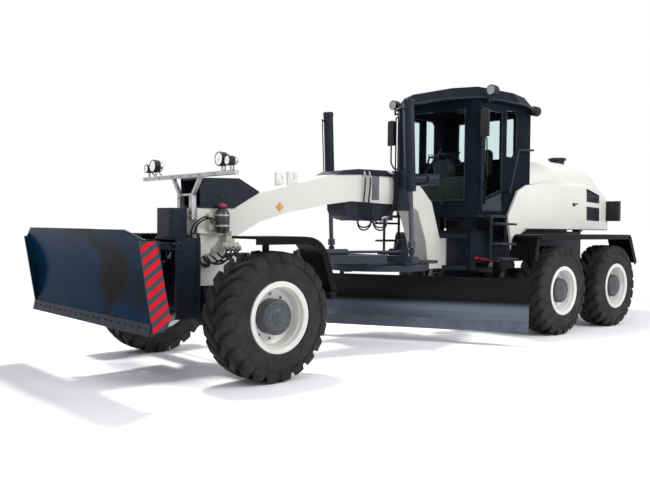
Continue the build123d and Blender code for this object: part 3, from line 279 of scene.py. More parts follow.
DUST = (0.24, 0.21, 0.18)
PAINT = {
    "cream_paint": finish("cream_paint", (0.85, 0.83, 0.785), rough=0.34, coat=0.12,
        patches=(0.9, 0.96, 1.02), dust=((0.55, 0.5, 0.43), 0.35, 1.2)),
    "navy_paint": finish("navy_paint", (0.016, 0.02, 0.035), rough=0.38, shine=0.14,
        patches=(2.2, 0.82, 1.15), worn=((0.06, 0.062, 0.07), 0.3),
        dust=(DUST, 0.1, 1.3)),
    "dozer_paint": finish("dozer_paint", (0.002, 0.017, 0.036), rough=0.15, rough_spread=0.04,
        shine=0.28, patches=(1.3, 0.6, 1.6), grain=(60, 0.01)),
    "rubber": finish("rubber", (0.021, 0.021, 0.022), rough=0.75, shine=0.18,
        patches=(5, 0.75, 1.6), grain=(130, 0.16), dust=((0.14, 0.13, 0.12), 0.3, 1.38)),
    "black_plastic": finish("black_plastic", (0.01, 0.011, 0.013), rough=0.5, shine=0.25,
        patches=(3, 0.8, 1.3), grain=(320, 0.1)),
    "glass": glass("glass", (0.8, 0.89, 0.89)),
    "chrome_rod": finish("chrome_rod", (0.72, 0.73, 0.76), metal=1, rough=0.1,
        rough_spread=0.04, patches=(3, 0.95, 1.02)),
    "edge_steel": finish("edge_steel", (0.085, 0.095, 0.13), metal=0.5, rough=0.42,
        patches=(3.5, 0.8, 1.3), worn=((0.2, 0.2, 0.22), 0.15)),
    "silver": finish("silver", (0.46, 0.46, 0.47), metal=0.7, rough=0.34,
        patches=(6, 0.85, 1.1)),
    "drive_cream": finish("drive_cream", (0.66, 0.64, 0.54), rough=0.45,
        patches=(9, 0.75, 1.05), dust=(DUST, 0.4, 2)),
    "seat_fabric": finish("seat_fabric", (0.02, 0.02, 0.022), rough=0.9,
        patches=(8, 0.8, 1.3), grain=(500, 0.06)),
}
RIM_CREAM = finish("rim_cream", (0.96, 0.95, 0.91), rough=0.34, coat=0.2, patches=(3, 0.94, 1.02),
    dust=((0.5, 0.44, 0.36), 0.3, 1.35))
GREY_PLATE = finish("grey_plate", (0.16, 0.16, 0.19), rough=0.45, patches=(6, 0.8, 1.15))
DARK_ROD = finish("dark_rod", (0.09, 0.095, 0.115), metal=0.7, rough=0.22, patches=(5, 0.85, 1.1))
ACCUMULATOR = finish("accumulator_black", (0.016, 0.018, 0.019), rough=0.34, coat=0.3,
    patches=(9, 0.8, 1.3))
MAGENTA = finish("magenta_plastic", (0.32, 0.01, 0.07), rough=0.4, patches=(12, 0.85, 1.1))
PANEL = finish("panel_grey", (0.04, 0.044, 0.06), rough=0.42, shine=0.15, patches=(3, 0.9, 1.1))
RED = finish("red_paint", (0.52, 0.02, 0.018), rough=0.36, coat=0.3, patches=(9, 0.85, 1.05),
    dust=(DUST, 0.25, 2))
LAMP_LENS = finish("lamp_lens", (0.3, 0.32, 0.34), metal=0.6, rough=0.12, rough_spread=0.03,
    patches=(30, 0.8, 1.1), grain=(50, 0.3))
VENT_NAVY = finish("vent_navy", (0.028, 0.034, 0.052), rough=0.5, shine=0.25, patches=(6, 0.8, 1.2))
REFLECTOR = finish("reflector", (0.92, 0.93, 0.95), metal=1, rough=0.08, rough_spread=0.03,
    patches=(20, 0.9, 1), grain=(60, 0.25))
AMBER = finish("amber", (0.85, 0.32, 0.03), rough=0.25, coat=0.5, patches=(30, 0.9, 1.1),
    grain=(260, 0.3))
HUB = finish("hub_grey", (0.05, 0.055, 0.075), rough=0.42, patches=(9, 0.8, 1.2),
    dust=(DUST, 0.15, 1.3))
FENDER = finish("fender_black", (0.0035, 0.004, 0.005), rough=0.4, shine=0.08,
    patches=(3, 0.7, 1.5), dust=(DUST, 0.05, 1.6))
CAB_NAVY = finish("cab_navy", (0.0085, 0.0115, 0.02), rough=0.38, shine=0.02,
    patches=(2.2, 0.85, 1.15))
ROOF = finish("roof_navy", (0.01, 0.012, 0.02), rough=0.45, shine=0.02, patches=(2, 0.85, 1.15))


def recoloured(material, fac, color):
    """A finish with another colour mixed over it where fac is 1."""
    tree = material.node_tree
    shader = tree.nodes["Principled BSDF"]
    under = shader.inputs["Base Color"].links[0].from_socket
    feed(shader, {"Base Color": mixed(tree, fac, under, color)})
    return material


def striped(name, one, other, pitch, slope):
    """Slanting hazard stripes by height and distance forward."""
    material = finish(name, one, rough=0.42, shine=0.15, patches=(5, 0.92, 1.06))
    tree = material.node_tree
    xyz = local_xyz(tree)
    lean = add_node(tree, "Math", {0: xyz["X"], 1: slope, 2: xyz["Z"]}, operation="MULTIPLY_ADD")
    wrap = add_node(tree, "Math", {0: lean, 1: pitch / 2}, operation="PINGPONG")
    band = ramp(tree, wrap, pitch / 4 - 0.002, pitch / 4 + 0.002)
    return recoloured(material, band, other)


def painted_reflection_and_shade(name, low_color, high_color, border, rough):
    """Steel with painted light by height: a painted reflection below a height and painted shade
    above it.
    """
    material = finish(name, high_color, metal=0.3, rough=rough,
        patches=(2.5, 0.85, 1.2), shine=0.15)
    tree = material.node_tree
    height = add_node(tree, "MapRange", {0: local_xyz(tree)["Z"], "From Min": border + 0.05,
        "From Max": border - 0.05}, interpolation_type="SMOOTHSTEP")
    return recoloured(material, height, low_color)


def painted_reflection_patches(name, one, other, scale, rough, shine):
    """Polished paint with painted reflection: patches of a second colour that stand for reflections
    on it.
    """
    material = finish(name, one, rough=rough, rough_spread=0.05, shine=shine,
        patches=(6, 0.85, 1.15), grain=(60, 0.01))
    tree = material.node_tree
    cloud = ramp(tree, noise(tree, scale, 2.5, 0.5), 0.44, 0.58)
    return recoloured(material, cloud, other)


EDGE_NAVY = finish("edge_navy", (0.02, 0.025, 0.04), rough=0.42, shine=0.12,
    patches=(3.5, 0.8, 1.2))
LINKAGE_NAVY = finish("linkage_navy", (0.034, 0.039, 0.058), rough=0.4, shine=0.2,
    patches=(2.2, 0.82, 1.15), worn=((0.1, 0.1, 0.115), 0.3), dust=(DUST, 0.15, 1.3))
# Dozer face: blue paint with brownish patches of painted reflection.
DOZER_FACE_PAINTED_REFLECTION = painted_reflection_patches("dozer_face", (0.0012, 0.026, 0.072), (0.01, 0.0075, 0.007), 1.15, 0.2, 0.02)
# Moldboard: painted reflection in blue-grey low down, painted shade in near black above it.
MOLD_PAINTED_LIGHT = painted_reflection_and_shade("moldboard_painted_light", (0.12, 0.142, 0.19), (0.003, 0.003, 0.0036), 0.56, 0.34)
STRIPES = striped("hazard_stripes", (0.06, 0.064, 0.09), (0.72, 0.008, 0.018), 0.118, 0.75)


# Shapes
SMOOTH_BELOW = radians(32)
AHEAD, UP = (1, 0, 0), (0, 0, 1)


def at(x, y, z):
    """Row point from an X measured from the front axle."""
    return Vector((FRONT_AXLE_X + x, y, z))


def tidy_mesh(bm):
    """Marks edges sharp or smooth by their angle and smooths the faces."""
    bmesh.ops.recalc_face_normals(bm, faces=bm.faces)
    for face in bm.faces:
        face.smooth = True
    for edge in bm.edges:
        edge.smooth = len(edge.link_faces) == 2 and edge.calc_face_angle(0) < SMOOTH_BELOW


def softened(bm, width, segments=2):
    """Rounds every sharp edge made so far."""
    bmesh.ops.recalc_face_normals(bm, faces=bm.faces)
    edges = [e for e in bm.edges if len(e.link_faces) == 2 and e.calc_face_angle(0) > SMOOTH_BELOW]
    if edges:
        bmesh.ops.bevel(bm, geom=edges, offset=width, segments=segments, profile=0.6,
            affect="EDGES", clamp_overlap=True)


def placed(bm, name, node, slot, material=None, replaces=False):
    """Turns what is in bm into a piece that rides with a node, and empties bm for the next."""
    tidy_mesh(bm)
    mesh = bpy.data.meshes.new(name)
    bm.to_mesh(mesh)
    bm.clear()
    mesh.materials.append(material or PAINT[slot])
    obj = linked(name, mesh)
    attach(obj, BODY_OF[node])
    if replaces:
        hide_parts(node)
    return obj


def square_to(axis):
    """Two unit vectors square to an axis and to each other."""
    axis = Vector(axis).normalized()
    other = Vector(UP if abs(axis.z) < 0.9 else AHEAD)
    u = axis.cross(other).normalized()
    return u, axis.cross(u)


def around(centre, u, v, radius, count, turn=0):
    """Points on a circle in the plane of u and v."""
    return [Vector(centre) + (u * cos(a) + v * sin(a)) * radius
        for a in (tau * i / count + turn for i in range(count))]


def ring_of(centre, axis, radius, count, turn=0):
    """Points on a circle round an axis."""
    return around(centre, *square_to(axis), radius, count, turn)


def add_wall(bm, rings):
    """Faces from each ring of points to the next, and the rings' vertices; one point is a tip."""
    rings = [[bm.verts.new(p) for p in ring] for ring in rings]
    for low, high in zip(rings, rings[1:]):
        count = max(len(low), len(high))
        for i in range(count):
            j = (i + 1) % count
            corners = dict.fromkeys((low[i % len(low)], low[j % len(low)], high[j % len(high)],
                high[i % len(high)]))
            if len(corners) > 2:
                bm.faces.new(list(corners))
    return rings


def add_lathe(bm, centre, axis, profile, sides=24):
    """Turned form; profile is (distance along the axis, radius)."""
    axis = Vector(axis).normalized()
    u, v = square_to(axis)
    add_wall(bm, [around(Vector(centre) + axis * along, u, v, radius, sides if radius else 1)
        for along, radius in profile])


def add_rod(bm, start, end, radius, sides=16):
    run = Vector(end) - Vector(start)
    length, lip = run.length, min(radius * 0.18, 0.006)
    add_lathe(bm, start, run, ((0, 0), (0, radius - lip), (lip, radius), (length - lip, radius),
        (length, radius - lip), (length, 0)), sides)


def add_loft(bm, rings):
    """Closed form through rings of points, capped at both ends."""
    rings = add_wall(bm, rings)
    bm.faces.new(rings[0])
    bm.faces.new(rings[-1][::-1])


def add_slab(bm, points, thick):
    """Plate: an outline of points pushed along the vector thick."""
    add_loft(bm, (points, [p + Vector(thick) for p in points]))


def on_side(y, outline):
    """Points at one Y from (x from the axle, z) pairs."""
    return [at(x, y, z) for x, z in outline]


def facing(x, way, outline):
    """Points at one X from (y, z) pairs, on the side that way names."""
    return [at(x, way * y, z) for y, z in outline]


def mirrored(way, line):
    """Points (x from the axle, y, z), on the side that way names."""
    return [at(x, way * y, z) for x, y, z in line]


def loop(points):
    """Closes a line."""
    return [*points, points[0]]


def add_plate(bm, outline, y0, y1, way=1):
    """Plate across Y from (x from the axle, z) pairs, on the side that way names."""
    add_slab(bm, on_side(way * y0, outline), (0, way * y1 - way * y0, 0))


def add_box(bm, x0, x1, y0, y1, z0, z1, way=1):
    add_plate(bm, ((x0, z0), (x1, z0), (x1, z1), (x0, z1)), y0, y1, way)


def eased(points, steps=6):
    """Smooth line through points (Catmull-Rom), with some steps from each to the next."""
    points = [Vector(p) for p in points]
    ends = [points[0] * 2 - points[1], *points, points[-1] * 2 - points[-2]]
    line = []
    for a, b, c, d in zip(ends, ends[1:], ends[2:], ends[3:]):
        for i in range(steps):
            t = i / steps
            line.append(0.5 * ((2 * b) + (c - a) * t + (2 * a - 5 * b + 4 * c - d) * t * t
                + (3 * b - a - 3 * c + d) * t ** 3))
    return [*line, points[-1]]


def add_tube(bm, points, radius, sides=10, steps=6):
    """Round tube along a smooth line through points."""
    line = eased(points, steps) if steps else [Vector(p) for p in points]
    u, v = square_to(line[1] - line[0])
    rings = [[line[0]]]
    for i, point in enumerate(line):
        ahead = (line[min(i + 1, len(line) - 1)] - line[max(i - 1, 0)]).normalized()
        u = (u - ahead * u.dot(ahead)).normalized()
        v = ahead.cross(u)
        rings.append(around(point, u, v, radius, sides))
    add_wall(bm, [*rings, [line[-1]]])


def add_bolts(bm, centres, axis, size):
    """Hexagon heads standing on a face."""
    for centre in centres:
        add_lathe(bm, centre, axis, ((-0.002, size), (size * 0.6, size), (size * 0.8, size * 0.8),
            (size * 0.8, 0)), 6)


# Solids whose finish differs from their slot's usual one
# The moldboard's own look paints a reflection low down and shade above it.
OWN_LOOKS = ((MOLD_PAINTED_LIGHT, ("moldboard",)), (FENDER, ("rear_fenders",)), (ROOF, ("cab_roof",)),
    (PAINT["navy_paint"], ("circle_drive",)), (DARK_ROD, ("lift_rod_left", "lift_rod_right")),
    (LINKAGE_NAVY, ("circle", "drawbar", "drawbar_ball", "side_cylinder")),
    (CAB_NAVY, ("cab_shell", "door_left", "door_right")))
LOOK_OF = {node: look for look, nodes in OWN_LOOKS for node in nodes}
for node, solid in frame["nodes"].items():
    solid.data.materials.clear()
    solid.data.materials.append(LOOK_OF.get(node, PAINT[SLOT_OF[node]]))


# The mesh in work: each piece is built in it and then placed
bm = bmesh.new()

# Wheels: tyre with slanting lugs, rim with a rolled lip, hub with its bolts
WHEELS = [(f"{row}_{side}", out) for row in ("front", "mid", "rear") for side, out in SIDES]
TYRE_HALF = 0.2293
CARCASS = ((0.2165, 0.3815), (TYRE_HALF - 0.001, 0.4), (TYRE_HALF, 0.424), (0.2255, 0.434),
    (TYRE_HALF - 0.001, 0.48), (TYRE_HALF - 0.002, 0.52), (0.2215, 0.575), (0.206, 0.622),
    (0.176, 0.64), (0.09, 0.646), (0, 0.648))
TYRE_SIDES, RIM_SIDES = 88, 72
LUGS = 22
LUG_TURN = 0.27
LUG_EASE = 0.008
# u from the middle, top radius, root radius, half width at the top, share of the turn
LUG_STATIONS = ((0.008, 0.69, 0.63, 0.04, 0), (0.07, 0.69, 0.63, 0.05, 0.34),
    (0.14, 0.689, 0.625, 0.06, 0.72), (0.196, 0.682, 0.615, 0.066, 1),
    (0.219, 0.652, 0.6, 0.064, 1.05), (0.2285, 0.598, 0.57, 0.056, 1.05))


def wheel_point(centre, out, u, radius, angle):
    """Point at u outward from a wheel's middle, by radius and angle."""
    return centre + Vector((cos(angle) * radius, out * u, sin(angle) * radius))


def add_lug(bm, centre, out, start):
    """Tread lug through its stations; out turns it to the wheel's outer or inner side."""
    rings = []
    for u, top, root, half, share in LUG_STATIONS:
        turn = start + LUG_TURN * share
        section = ((root, -1.22), (top - LUG_EASE, -1), (top, -0.86), (top, 0.86),
            (top - LUG_EASE, 1), (root, 1.22))
        rings.append([wheel_point(centre, out, u, radius, turn + width * half / radius)
            for radius, width in section])
    add_loft(bm, rings)


RIM_PROFILE = ((-0.215, 0.318), (-0.2285, 0.325), (-0.2285, 0.374), (-0.218, 0.38),
    (-0.214, 0.3795), (-0.206, 0.336), (0.206, 0.336), (0.214, 0.3795), (0.22, 0.38),
    (0.2285, 0.375), (0.229, 0.366), (0.2265, 0.352), (0.22, 0.345), (0.218, 0.338),
    (0.2245, 0.331), (0.224, 0.324), (0.215, 0.317), (0.17, 0.313), (0.16, 0.305), (0.09, 0.301),
    (0.056, 0.294), (0.04, 0.27), (0.037, 0.185), (0.02, 0.185), (0.02, 0.3), (-0.215, 0.318))
HUB_PROFILE = ((0.01, 0.188), (0.15, 0.1895), (0.176, 0.186), (0.19, 0.174), (0.196, 0.15),
    (0.2, 0.118), (0.1985, 0.092), (0.2045, 0.084), (0.21, 0.062), (0.211, 0.04),
    (0.218, 0.036), (0.219, 0))
# u from the middle, radius of the ring, count, turn and size
HUB_BOLTS = ((0.194, 0.15, 10, 0, 0.0125), (0.2095, 0.06, 6, 0, 0.006),
    (0.038, 0.235, 10, 0.3, 0.014))
for wheel, out in WHEELS:
    tyre_node, rim_node = "tyre_" + wheel, "rim_" + wheel
    centre = middle(tyre_node)
    axis = Vector((0, out, 0))
    whole = [*((-u, r) for u, r in CARCASS), *CARCASS[-2::-1]]
    add_lathe(bm, centre, axis, whole, TYRE_SIDES)
    for shoulder in WAYS:
        for i in range(LUGS):
            turn = tau * (i + (0.5 if shoulder < 0 else 0)) / LUGS
            add_lug(bm, centre, out * shoulder, turn)
    placed(bm, tyre_node + "_tread", tyre_node, "rubber", replaces=True)
    add_lathe(bm, centre, axis, RIM_PROFILE, RIM_SIDES)
    add_lathe(bm, centre, axis, ((-0.11, 0), (-0.11, 0.15), (0.02, 0.15)), 36)
    add_tube(bm, [wheel_point(centre, out, u, r, 0.6) for u, r in ((0.05, 0.296), (0.1, 0.285),
        (0.14, 0.29))], 0.006, 8, 3)
    placed(bm, rim_node + "_rolled", rim_node, "cream_paint", RIM_CREAM, True)
    add_lathe(bm, centre, axis, HUB_PROFILE, 48)
    for u, radius, count, turn, size in HUB_BOLTS:
        add_bolts(bm, ring_of(centre + axis * u, axis, radius, count, turn), axis, size)
    placed(bm, rim_node + "_hub", rim_node, "navy_paint", HUB)


# Dozer blade: striped end plates, a skin on its face, a bolted edge along the foot
ARC = ((1.625, 1.59), (1.42, 1.06), (1.46, 0.73))


def arc_x(z):
    """X of the blade's face at height z, on the circle through the three points of ARC."""
    (x1, z1), (x2, z2), (x3, z3) = ARC
    d = 2 * (x1 * (z2 - z3) + x2 * (z3 - z1) + x3 * (z1 - z2))
    s1, s2, s3 = x1 * x1 + z1 * z1, x2 * x2 + z2 * z2, x3 * x3 + z3 * z3
    cx = (s1 * (z2 - z3) + s2 * (z3 - z1) + s3 * (z1 - z2)) / d
    cz = (s1 * (x3 - x2) + s2 * (x1 - x3) + s3 * (x2 - x1)) / d
    radius = hypot(x1 - cx, z1 - cz)
    return cx - sqrt(radius * radius - (z - cz) ** 2)


def add_skin(bm, rows):
    """Faces between neighbouring rows of points that are open at their ends."""
    for one, other in zip(rows, rows[1:]):
        for k in range(len(one) - 1):
            bm.faces.new((one[k], one[k + 1], other[k + 1], other[k]))


SKIN_FRONT, SKIN_BACK = 0.0025, -0.008
SKIN_FOOT_Z = 0.732
SKIN_TOP = ((-1.409, 1.5), (-1.12, 1.585), (1.12, 1.585), (1.409, 1.5))
SKIN_STEPS = 24
STRIPED_PLATE = ((1.598, 1.49), (1.425, 1.484), (1.278, 0.782), (1.305, 0.69), (1.455, 0.648))
for way in WAYS:
    add_plate(bm, STRIPED_PLATE, 1.398, 1.4098, way)
softened(bm, 0.0015, 1)
placed(bm, "dozer_end_plates", "dozer_blade", "dozer_paint")
for name, way in SIDES:
    add_plate(bm, STRIPED_PLATE, 1.41, 1.4135, way)
    placed(bm, f"dozer_stripes_{name}", "dozer_blade", "dozer_paint", STRIPES)
sheets = []
for proud in (SKIN_FRONT, SKIN_BACK):
    rows = []
    for y, top in SKIN_TOP:
        heights = [top + (SKIN_FOOT_Z - top) * k / SKIN_STEPS for k in range(SKIN_STEPS + 1)]
        rows.append([bm.verts.new(at(arc_x(z) + proud, y, z)) for z in heights])
    sheets.append(rows)
    add_skin(bm, rows)
front, back = sheets
for edge in (0, -1):
    add_skin(bm, (front[edge], back[edge]))
    add_skin(bm, ([row[edge] for row in front], [row[edge] for row in back]))
# The face skin carries the patches of painted reflection.
placed(bm, "dozer_face", "dozer_blade", "dozer_paint", DOZER_FACE_PAINTED_REFLECTION)
EDGE_SECTION = ((1.462, 0.736), (1.4745, 0.736), (1.4975, 0.626), (1.483, 0.62))
EDGE_END, EDGE_LENGTH, EDGE_GAP = 1.404, 0.702, 0.004
for i in range(4):
    left, right = EDGE_END - EDGE_LENGTH * i, EDGE_END - EDGE_LENGTH * (i + 1) + EDGE_GAP
    add_plate(bm, EDGE_SECTION, right, left)
    add_bolts(bm, [at(1.484, right + 0.08 + 0.135 * k, 0.69) for k in range(5)], (1, 0, 0.2), 0.011)
softened(bm, 0.002, 1)
placed(bm, "dozer_edge", "dozer_blade", "edge_steel", EDGE_NAVY)


# Lamp bar: dark housings with bowls, cables and bolts
LAMP_TOP_Z = 2.225
shells, bowls = bmesh.new(), bmesh.new()
for way in WAYS:
    for y, r in ((0.72, 0.075), (0.88, 0.05)):
        hub = at(0.205, way * y, LAMP_TOP_Z + 0.055 + r)
        add_lathe(shells, hub, AHEAD, ((-0.03, 0), (-0.028, r * 0.45), (-0.012, r * 0.8),
            (0.03, r + 0.001), (0.094, r + 0.004), (0.104, r + 0.001), (0.104, r * 0.9),
            (0.08, r * 0.86)), 28)
        add_lathe(bowls, hub, AHEAD, ((0.106, r * 0.93), (0.101, r * 0.9), (0.1015, r * 0.6),
            (0.101, r * 0.24), (0.108, r * 0.2), (0.11, 0)), 28)
        add_tube(shells, [at(0.225, way * y, LAMP_TOP_Z + 0.06),
            at(0.2, way * (y - 0.03), LAMP_TOP_Z + 0.02), at(0.226, way * (y - 0.08),
            LAMP_TOP_Z - 0.01)], 0.006, 8)
placed(shells, "work_lamp_shells", "lamp_bar", "black_plastic")
placed(bowls, "work_lamp_bowls", "lamp_bar", "chrome_rod", REFLECTOR)
for way in WAYS:
    add_bolts(bm, [at(0.286, way * y, 2.203) for y in (0.1, 0.3, 0.6)], AHEAD, 0.012)
    add_bolts(bm, [at(0.29, way * 0.13, z) for z in (1.74, 1.8, 1.95)], AHEAD, 0.012)
placed(bm, "lamp_bar_bolts", "lamp_bar", "silver")


# Nose box: ringed holes and bolts
NOSE_Y = 0.2045
for way in WAYS:
    face = at(-0.1, way * NOSE_Y, 1.985)
    add_lathe(bm, face, (0, way, 0), ((0, 0.046), (0.006, 0.046), (0.008, 0.042), (0.008, 0.034),
        (0.001, 0.032), (0.001, 0)), 24)
    spots = ((0.045, 1.915), (0.15, 1.88), (0.165, 2.14), (-0.5, 2.05))
    add_bolts(bm, on_side(way * 0.205, spots), (0, way, 0), 0.013)
placed(bm, "nose_box_trim", "nose_box", "black_plastic")

# Beam: amber side reflectors on pale plates, wear plates, and the cap and tray at the saddle
BEAM = "front_frame"
BEAM_Y = 0.1905
REFLECTOR_AT = (-0.955, 1.88)


def diamond(half):
    """Outline of the reflector or its plate, on a corner."""
    x, z = REFLECTOR_AT
    return ((x - half, z), (x, z - half), (x + half, z), (x, z + half))


for name, way in SIDES:
    add_plate(bm, diamond(0.072), BEAM_Y, 0.1945, way)
    softened(bm, 0.002, 1)
    placed(bm, f"reflector_plate_{name}", BEAM, "cream_paint")
    add_plate(bm, diamond(0.056), 0.1945, 0.204, way)
    softened(bm, 0.004)
    placed(bm, f"reflector_{name}", BEAM, "drive_cream", AMBER)
for way in WAYS:
    add_plate(bm, ((-2.592, 2.02), (-2.735, 2.02), (-2.735, 2.358), (-2.592, 2.358)),
        BEAM_Y, 0.196, way)
softened(bm, 0.002, 1)
placed(bm, "beam_wear_plates", BEAM, "edge_steel", GREY_PLATE)
add_plate(bm, ((-1.885, 2.335), (-2.02, 2.395), (-2.3, 2.432), (-3.048, 2.448), (-3.048, 2.361),
    (-2.37, 2.361), (-1.9, 2.333)), -0.215, 0.215)
softened(bm, 0.01)
tray = ((-2.08, 1.972), (-2.086, 1.875), (-2.125, 1.8), (-2.2, 1.757), (-2.32, 1.737),
    (-2.88, 1.733), (-2.985, 1.748), (-3.04, 1.79), (-3.049, 1.86), (-3.049, 1.984), (-2.2, 1.988))
add_plate(bm, tray, -0.178, 0.178)
for x in (-2.35, -2.6, -2.85):
    add_box(bm, x - 0.012, x + 0.012, -0.186, 0.186, 1.728, 1.978)
softened(bm, 0.005, 1)
placed(bm, "saddle_cap", "lift_saddle", "navy_paint")

# Bolts and gussets on the saddle
for way in WAYS:
    for z in (1.95, 2.08, 2.21, 2.4):
        add_bolts(bm, [at(x, way * 0.2605, z) for x in (-3.1, -3.3)], (0, way, 0), 0.016)
    arm = at(-3.08, way * 0.58, 2.37)
    add_slab(bm, [arm + Vector((0, way * y, z)) for y, z in ((-0.32, 0), (0.2, 0),
        (-0.32, 0.07))], (-0.03, 0, 0))
    add_bolts(bm, [at(-3.0695, way * y, z) for y in (0.62, 0.8) for z in (2.255,
        2.345)], AHEAD, 0.014)
placed(bm, "saddle_bolts", "lift_saddle", "navy_paint")

# Lift cylinders: gland, trunnion band, top cap, ports and the pipe between them
PORT_HEIGHTS = (0.88, 1.9)
GLAND = ((0, 0.034), (0, 0.066), (0.006, 0.074), (0.052, 0.0745), (0.058, 0.0775),
    (0.086, 0.0775), (0.092, 0.0725))
TRUNNION_BAND = ((0, 0.073), (0.006, 0.082), (0.104, 0.082), (0.11, 0.073))
TOP_CAP = ((0, 0.073), (0.005, 0.0775), (0.062, 0.0775), (0.0715, 0.07), (0.0715, 0.03),
    (0.076, 0.026), (0.076, 0))
for name, way in SIDES:
    foot = at(-2.75, way * 0.8, 1.32)
    up = Vector((0.05, 0, 1)).normalized()
    for height, profile in ((0.806, GLAND), (0.925, TRUNNION_BAND), (1.96, TOP_CAP)):
        add_lathe(bm, foot + up * height, up, profile, 32)
    add_bolts(bm, ring_of(foot + up * 2.031, up, 0.052, 6), up, 0.009)
    front = Vector((0.075, 0, 0))
    for height in PORT_HEIGHTS:
        spot = foot + up * height + front
        add_rod(bm, spot - Vector((0.012, 0, 0)), spot + Vector((0.022, 0, 0)), 0.019, 12)
    placed(bm, f"lift_barrel_{name}_fittings", "lift_barrel_" + name, "navy_paint")
    low, high = (foot + up * height + front * 1.24 for height in PORT_HEIGHTS)
    bent = ((0.02, 0, 0.012), (0.026, 0, 0.06))
    add_tube(bm, [low, *(low + Vector(b) for b in bent), *(high + Vector((x, 0, -z))
        for x, y, z in bent[::-1]), high], 0.0085, 10, 4)
    placed(bm, f"lift_barrel_{name}_pipe", "lift_barrel_" + name, "black_plastic")
    add_lathe(bm, foot + up * 0.046, up, ((0, 0.028), (0, 0.046), (0.01, 0.052), (0.048, 0.052),
        (0.062, 0.04), (0.07, 0.0325)), 28)
    placed(bm, f"lift_rod_{name}_eye", "lift_rod_" + name, "navy_paint")


# Hoses: both ends of each in fittings on the body that it rides on
def add_hose(hoses, ends, points, radius=0.011):
    """Hose through (x from the axle, y, z) points, with a fitting at each end."""
    points = [at(*p) for p in points]
    add_tube(hoses, points, radius, 10, 7)
    for tip, beside in ((points[0], points[1]), (points[-1], points[-2])):
        run = (beside - tip).normalized()
        add_lathe(ends, tip - run * 0.012, run, ((0, 0), (0, radius * 1.35), (0.03, radius * 1.35),
            (0.034, radius * 1.75), (0.05, radius * 1.75), (0.054, radius * 1.2),
            (0.085, radius * 1.2), (0.09, radius)), 12)


hoses, ends = bmesh.new(), bmesh.new()
for shift in (0, -0.098):
    x = -2.413 + shift
    add_hose(hoses, ends, [(x, 0.214, 2.398), (x - 0.004, 0.232, 2.33), (x - 0.008, 0.226, 2.18),
        (x + 0.01, 0.222, 1.98), (x - 0.02, 0.222, 1.84), (x - 0.11, 0.216, 1.735),
        (x - 0.25, 0.206, 1.69), (x - 0.38, 0.19, 1.716), (x - 0.42, 0.17, 1.752)])
for shift in (0, 0.045):
    add_hose(hoses, ends, [(-2.9 + shift * 0.6, 0.232, 2.43), (-2.985 + shift, 0.246, 2.402),
        (-3.03 + shift, 0.25, 2.27), (-3.034 + shift, 0.248, 2.08), (-3.01 + shift, 0.24, 1.92),
        (-2.93 + shift, 0.224, 1.8), (-2.84 + shift, 0.196, 1.77)], 0.012)
for way in WAYS:
    for z, sag in ((1.76, 0.125), (1.77, 0.175)):
        add_hose(hoses, ends, [(-2.64, way * 0.15, z), (-2.69, way * 0.16, z - sag * 0.75),
            (-2.8, way * 0.165, z - sag), (-2.91, way * 0.16, z - sag * 0.7),
            (-2.96, way * 0.15, z)])
placed(hoses, "saddle_hoses", "lift_saddle", "black_plastic")
placed(ends, "saddle_hose_ends", "lift_saddle", "silver")

# Steering valve, accumulator and hoses beside the nose
hoses, ends, block = bmesh.new(), bmesh.new(), bmesh.new()
add_box(block, -0.29, -0.06, 0.155, 0.275, 1.335, 1.445)
add_box(block, -0.235, -0.115, 0.175, 0.262, 1.445, 1.52)
add_box(block, 0.02, 0.11, BEAM_Y, 0.245, 1.585, 1.78)
softened(block, 0.006)
for x in (-0.27, -0.215, -0.155, -0.095):
    add_lathe(block, at(x, 0.272, 1.388), (0, 1, 0), ((0, 0.018), (0.02, 0.018), (0.024, 0.024),
        (0.04, 0.024), (0.044, 0.014)), 12)
for x in (-0.205, -0.145):
    add_lathe(block, at(x, 0.218, 1.52), UP, ((0, 0.02), (0.022, 0.02), (0.026, 0.014),
        (0.06, 0.014), (0.062, 0)), 12)
for x, top in ((-0.27, 1.3), (-0.215, 1.255), (-0.155, 1.225), (-0.095, 1.24)):
    add_hose(hoses, ends, [(x, 0.31, 1.388), (x + 0.02, 0.352, 1.37), (x + 0.1, 0.33, top),
        (x + 0.2, 0.26, top - 0.03), (x + 0.25, 0.2, top + 0.03),
        (x * 0.3 + 0.09, 0.152, top + 0.06)])
for x, rise in ((0.04, 0.13), (0.085, 0.18)):
    add_hose(hoses, ends, [(x, 0.246, 1.74 - rise * 0.4), (x + 0.02, 0.3, 1.735 - rise * 0.35),
        (x + 0.11, 0.305, 1.69 + rise * 0.25), (x + 0.205, 0.24, 1.66), (x + 0.215, 0.17, 1.56),
        (x * 0.3 + 0.215, 0.142, 1.47)], 0.01)
for y, drop in ((-0.1, 0), (0.02, 0.05), (0.105, 0.09)):
    add_hose(hoses, ends, [(0.182, y, 1.5 - drop), (0.245, y + 0.05, 1.535 - drop),
        (0.262, y + 0.14, 1.42 - drop), (0.215, y + 0.175, 1.27 - drop),
        (0.1, y * 0.4 + 0.19, 1.18), (0.06, 0.152, 1.17 + drop)], 0.012)
placed(hoses, "nose_hoses", BEAM, "black_plastic")
placed(ends, "nose_hose_ends", BEAM, "silver")
placed(block, "steering_valve", BEAM, "drive_cream")
bottle = at(-0.042, 0.285, 1.545)
add_lathe(bm, bottle, UP, ((0, 0), (0, 0.04), (0.012, 0.066), (0.034, 0.08), (0.07, 0.0845),
    (0.205, 0.0845), (0.245, 0.079), (0.272, 0.062), (0.29, 0.04), (0.296, 0.034),
    (0.304, 0.034)), 36)
add_box(bm, -0.09, 0.006, BEAM_Y, 0.225, 1.6, 1.78)
placed(bm, "accumulator", BEAM, "black_plastic", ACCUMULATOR)
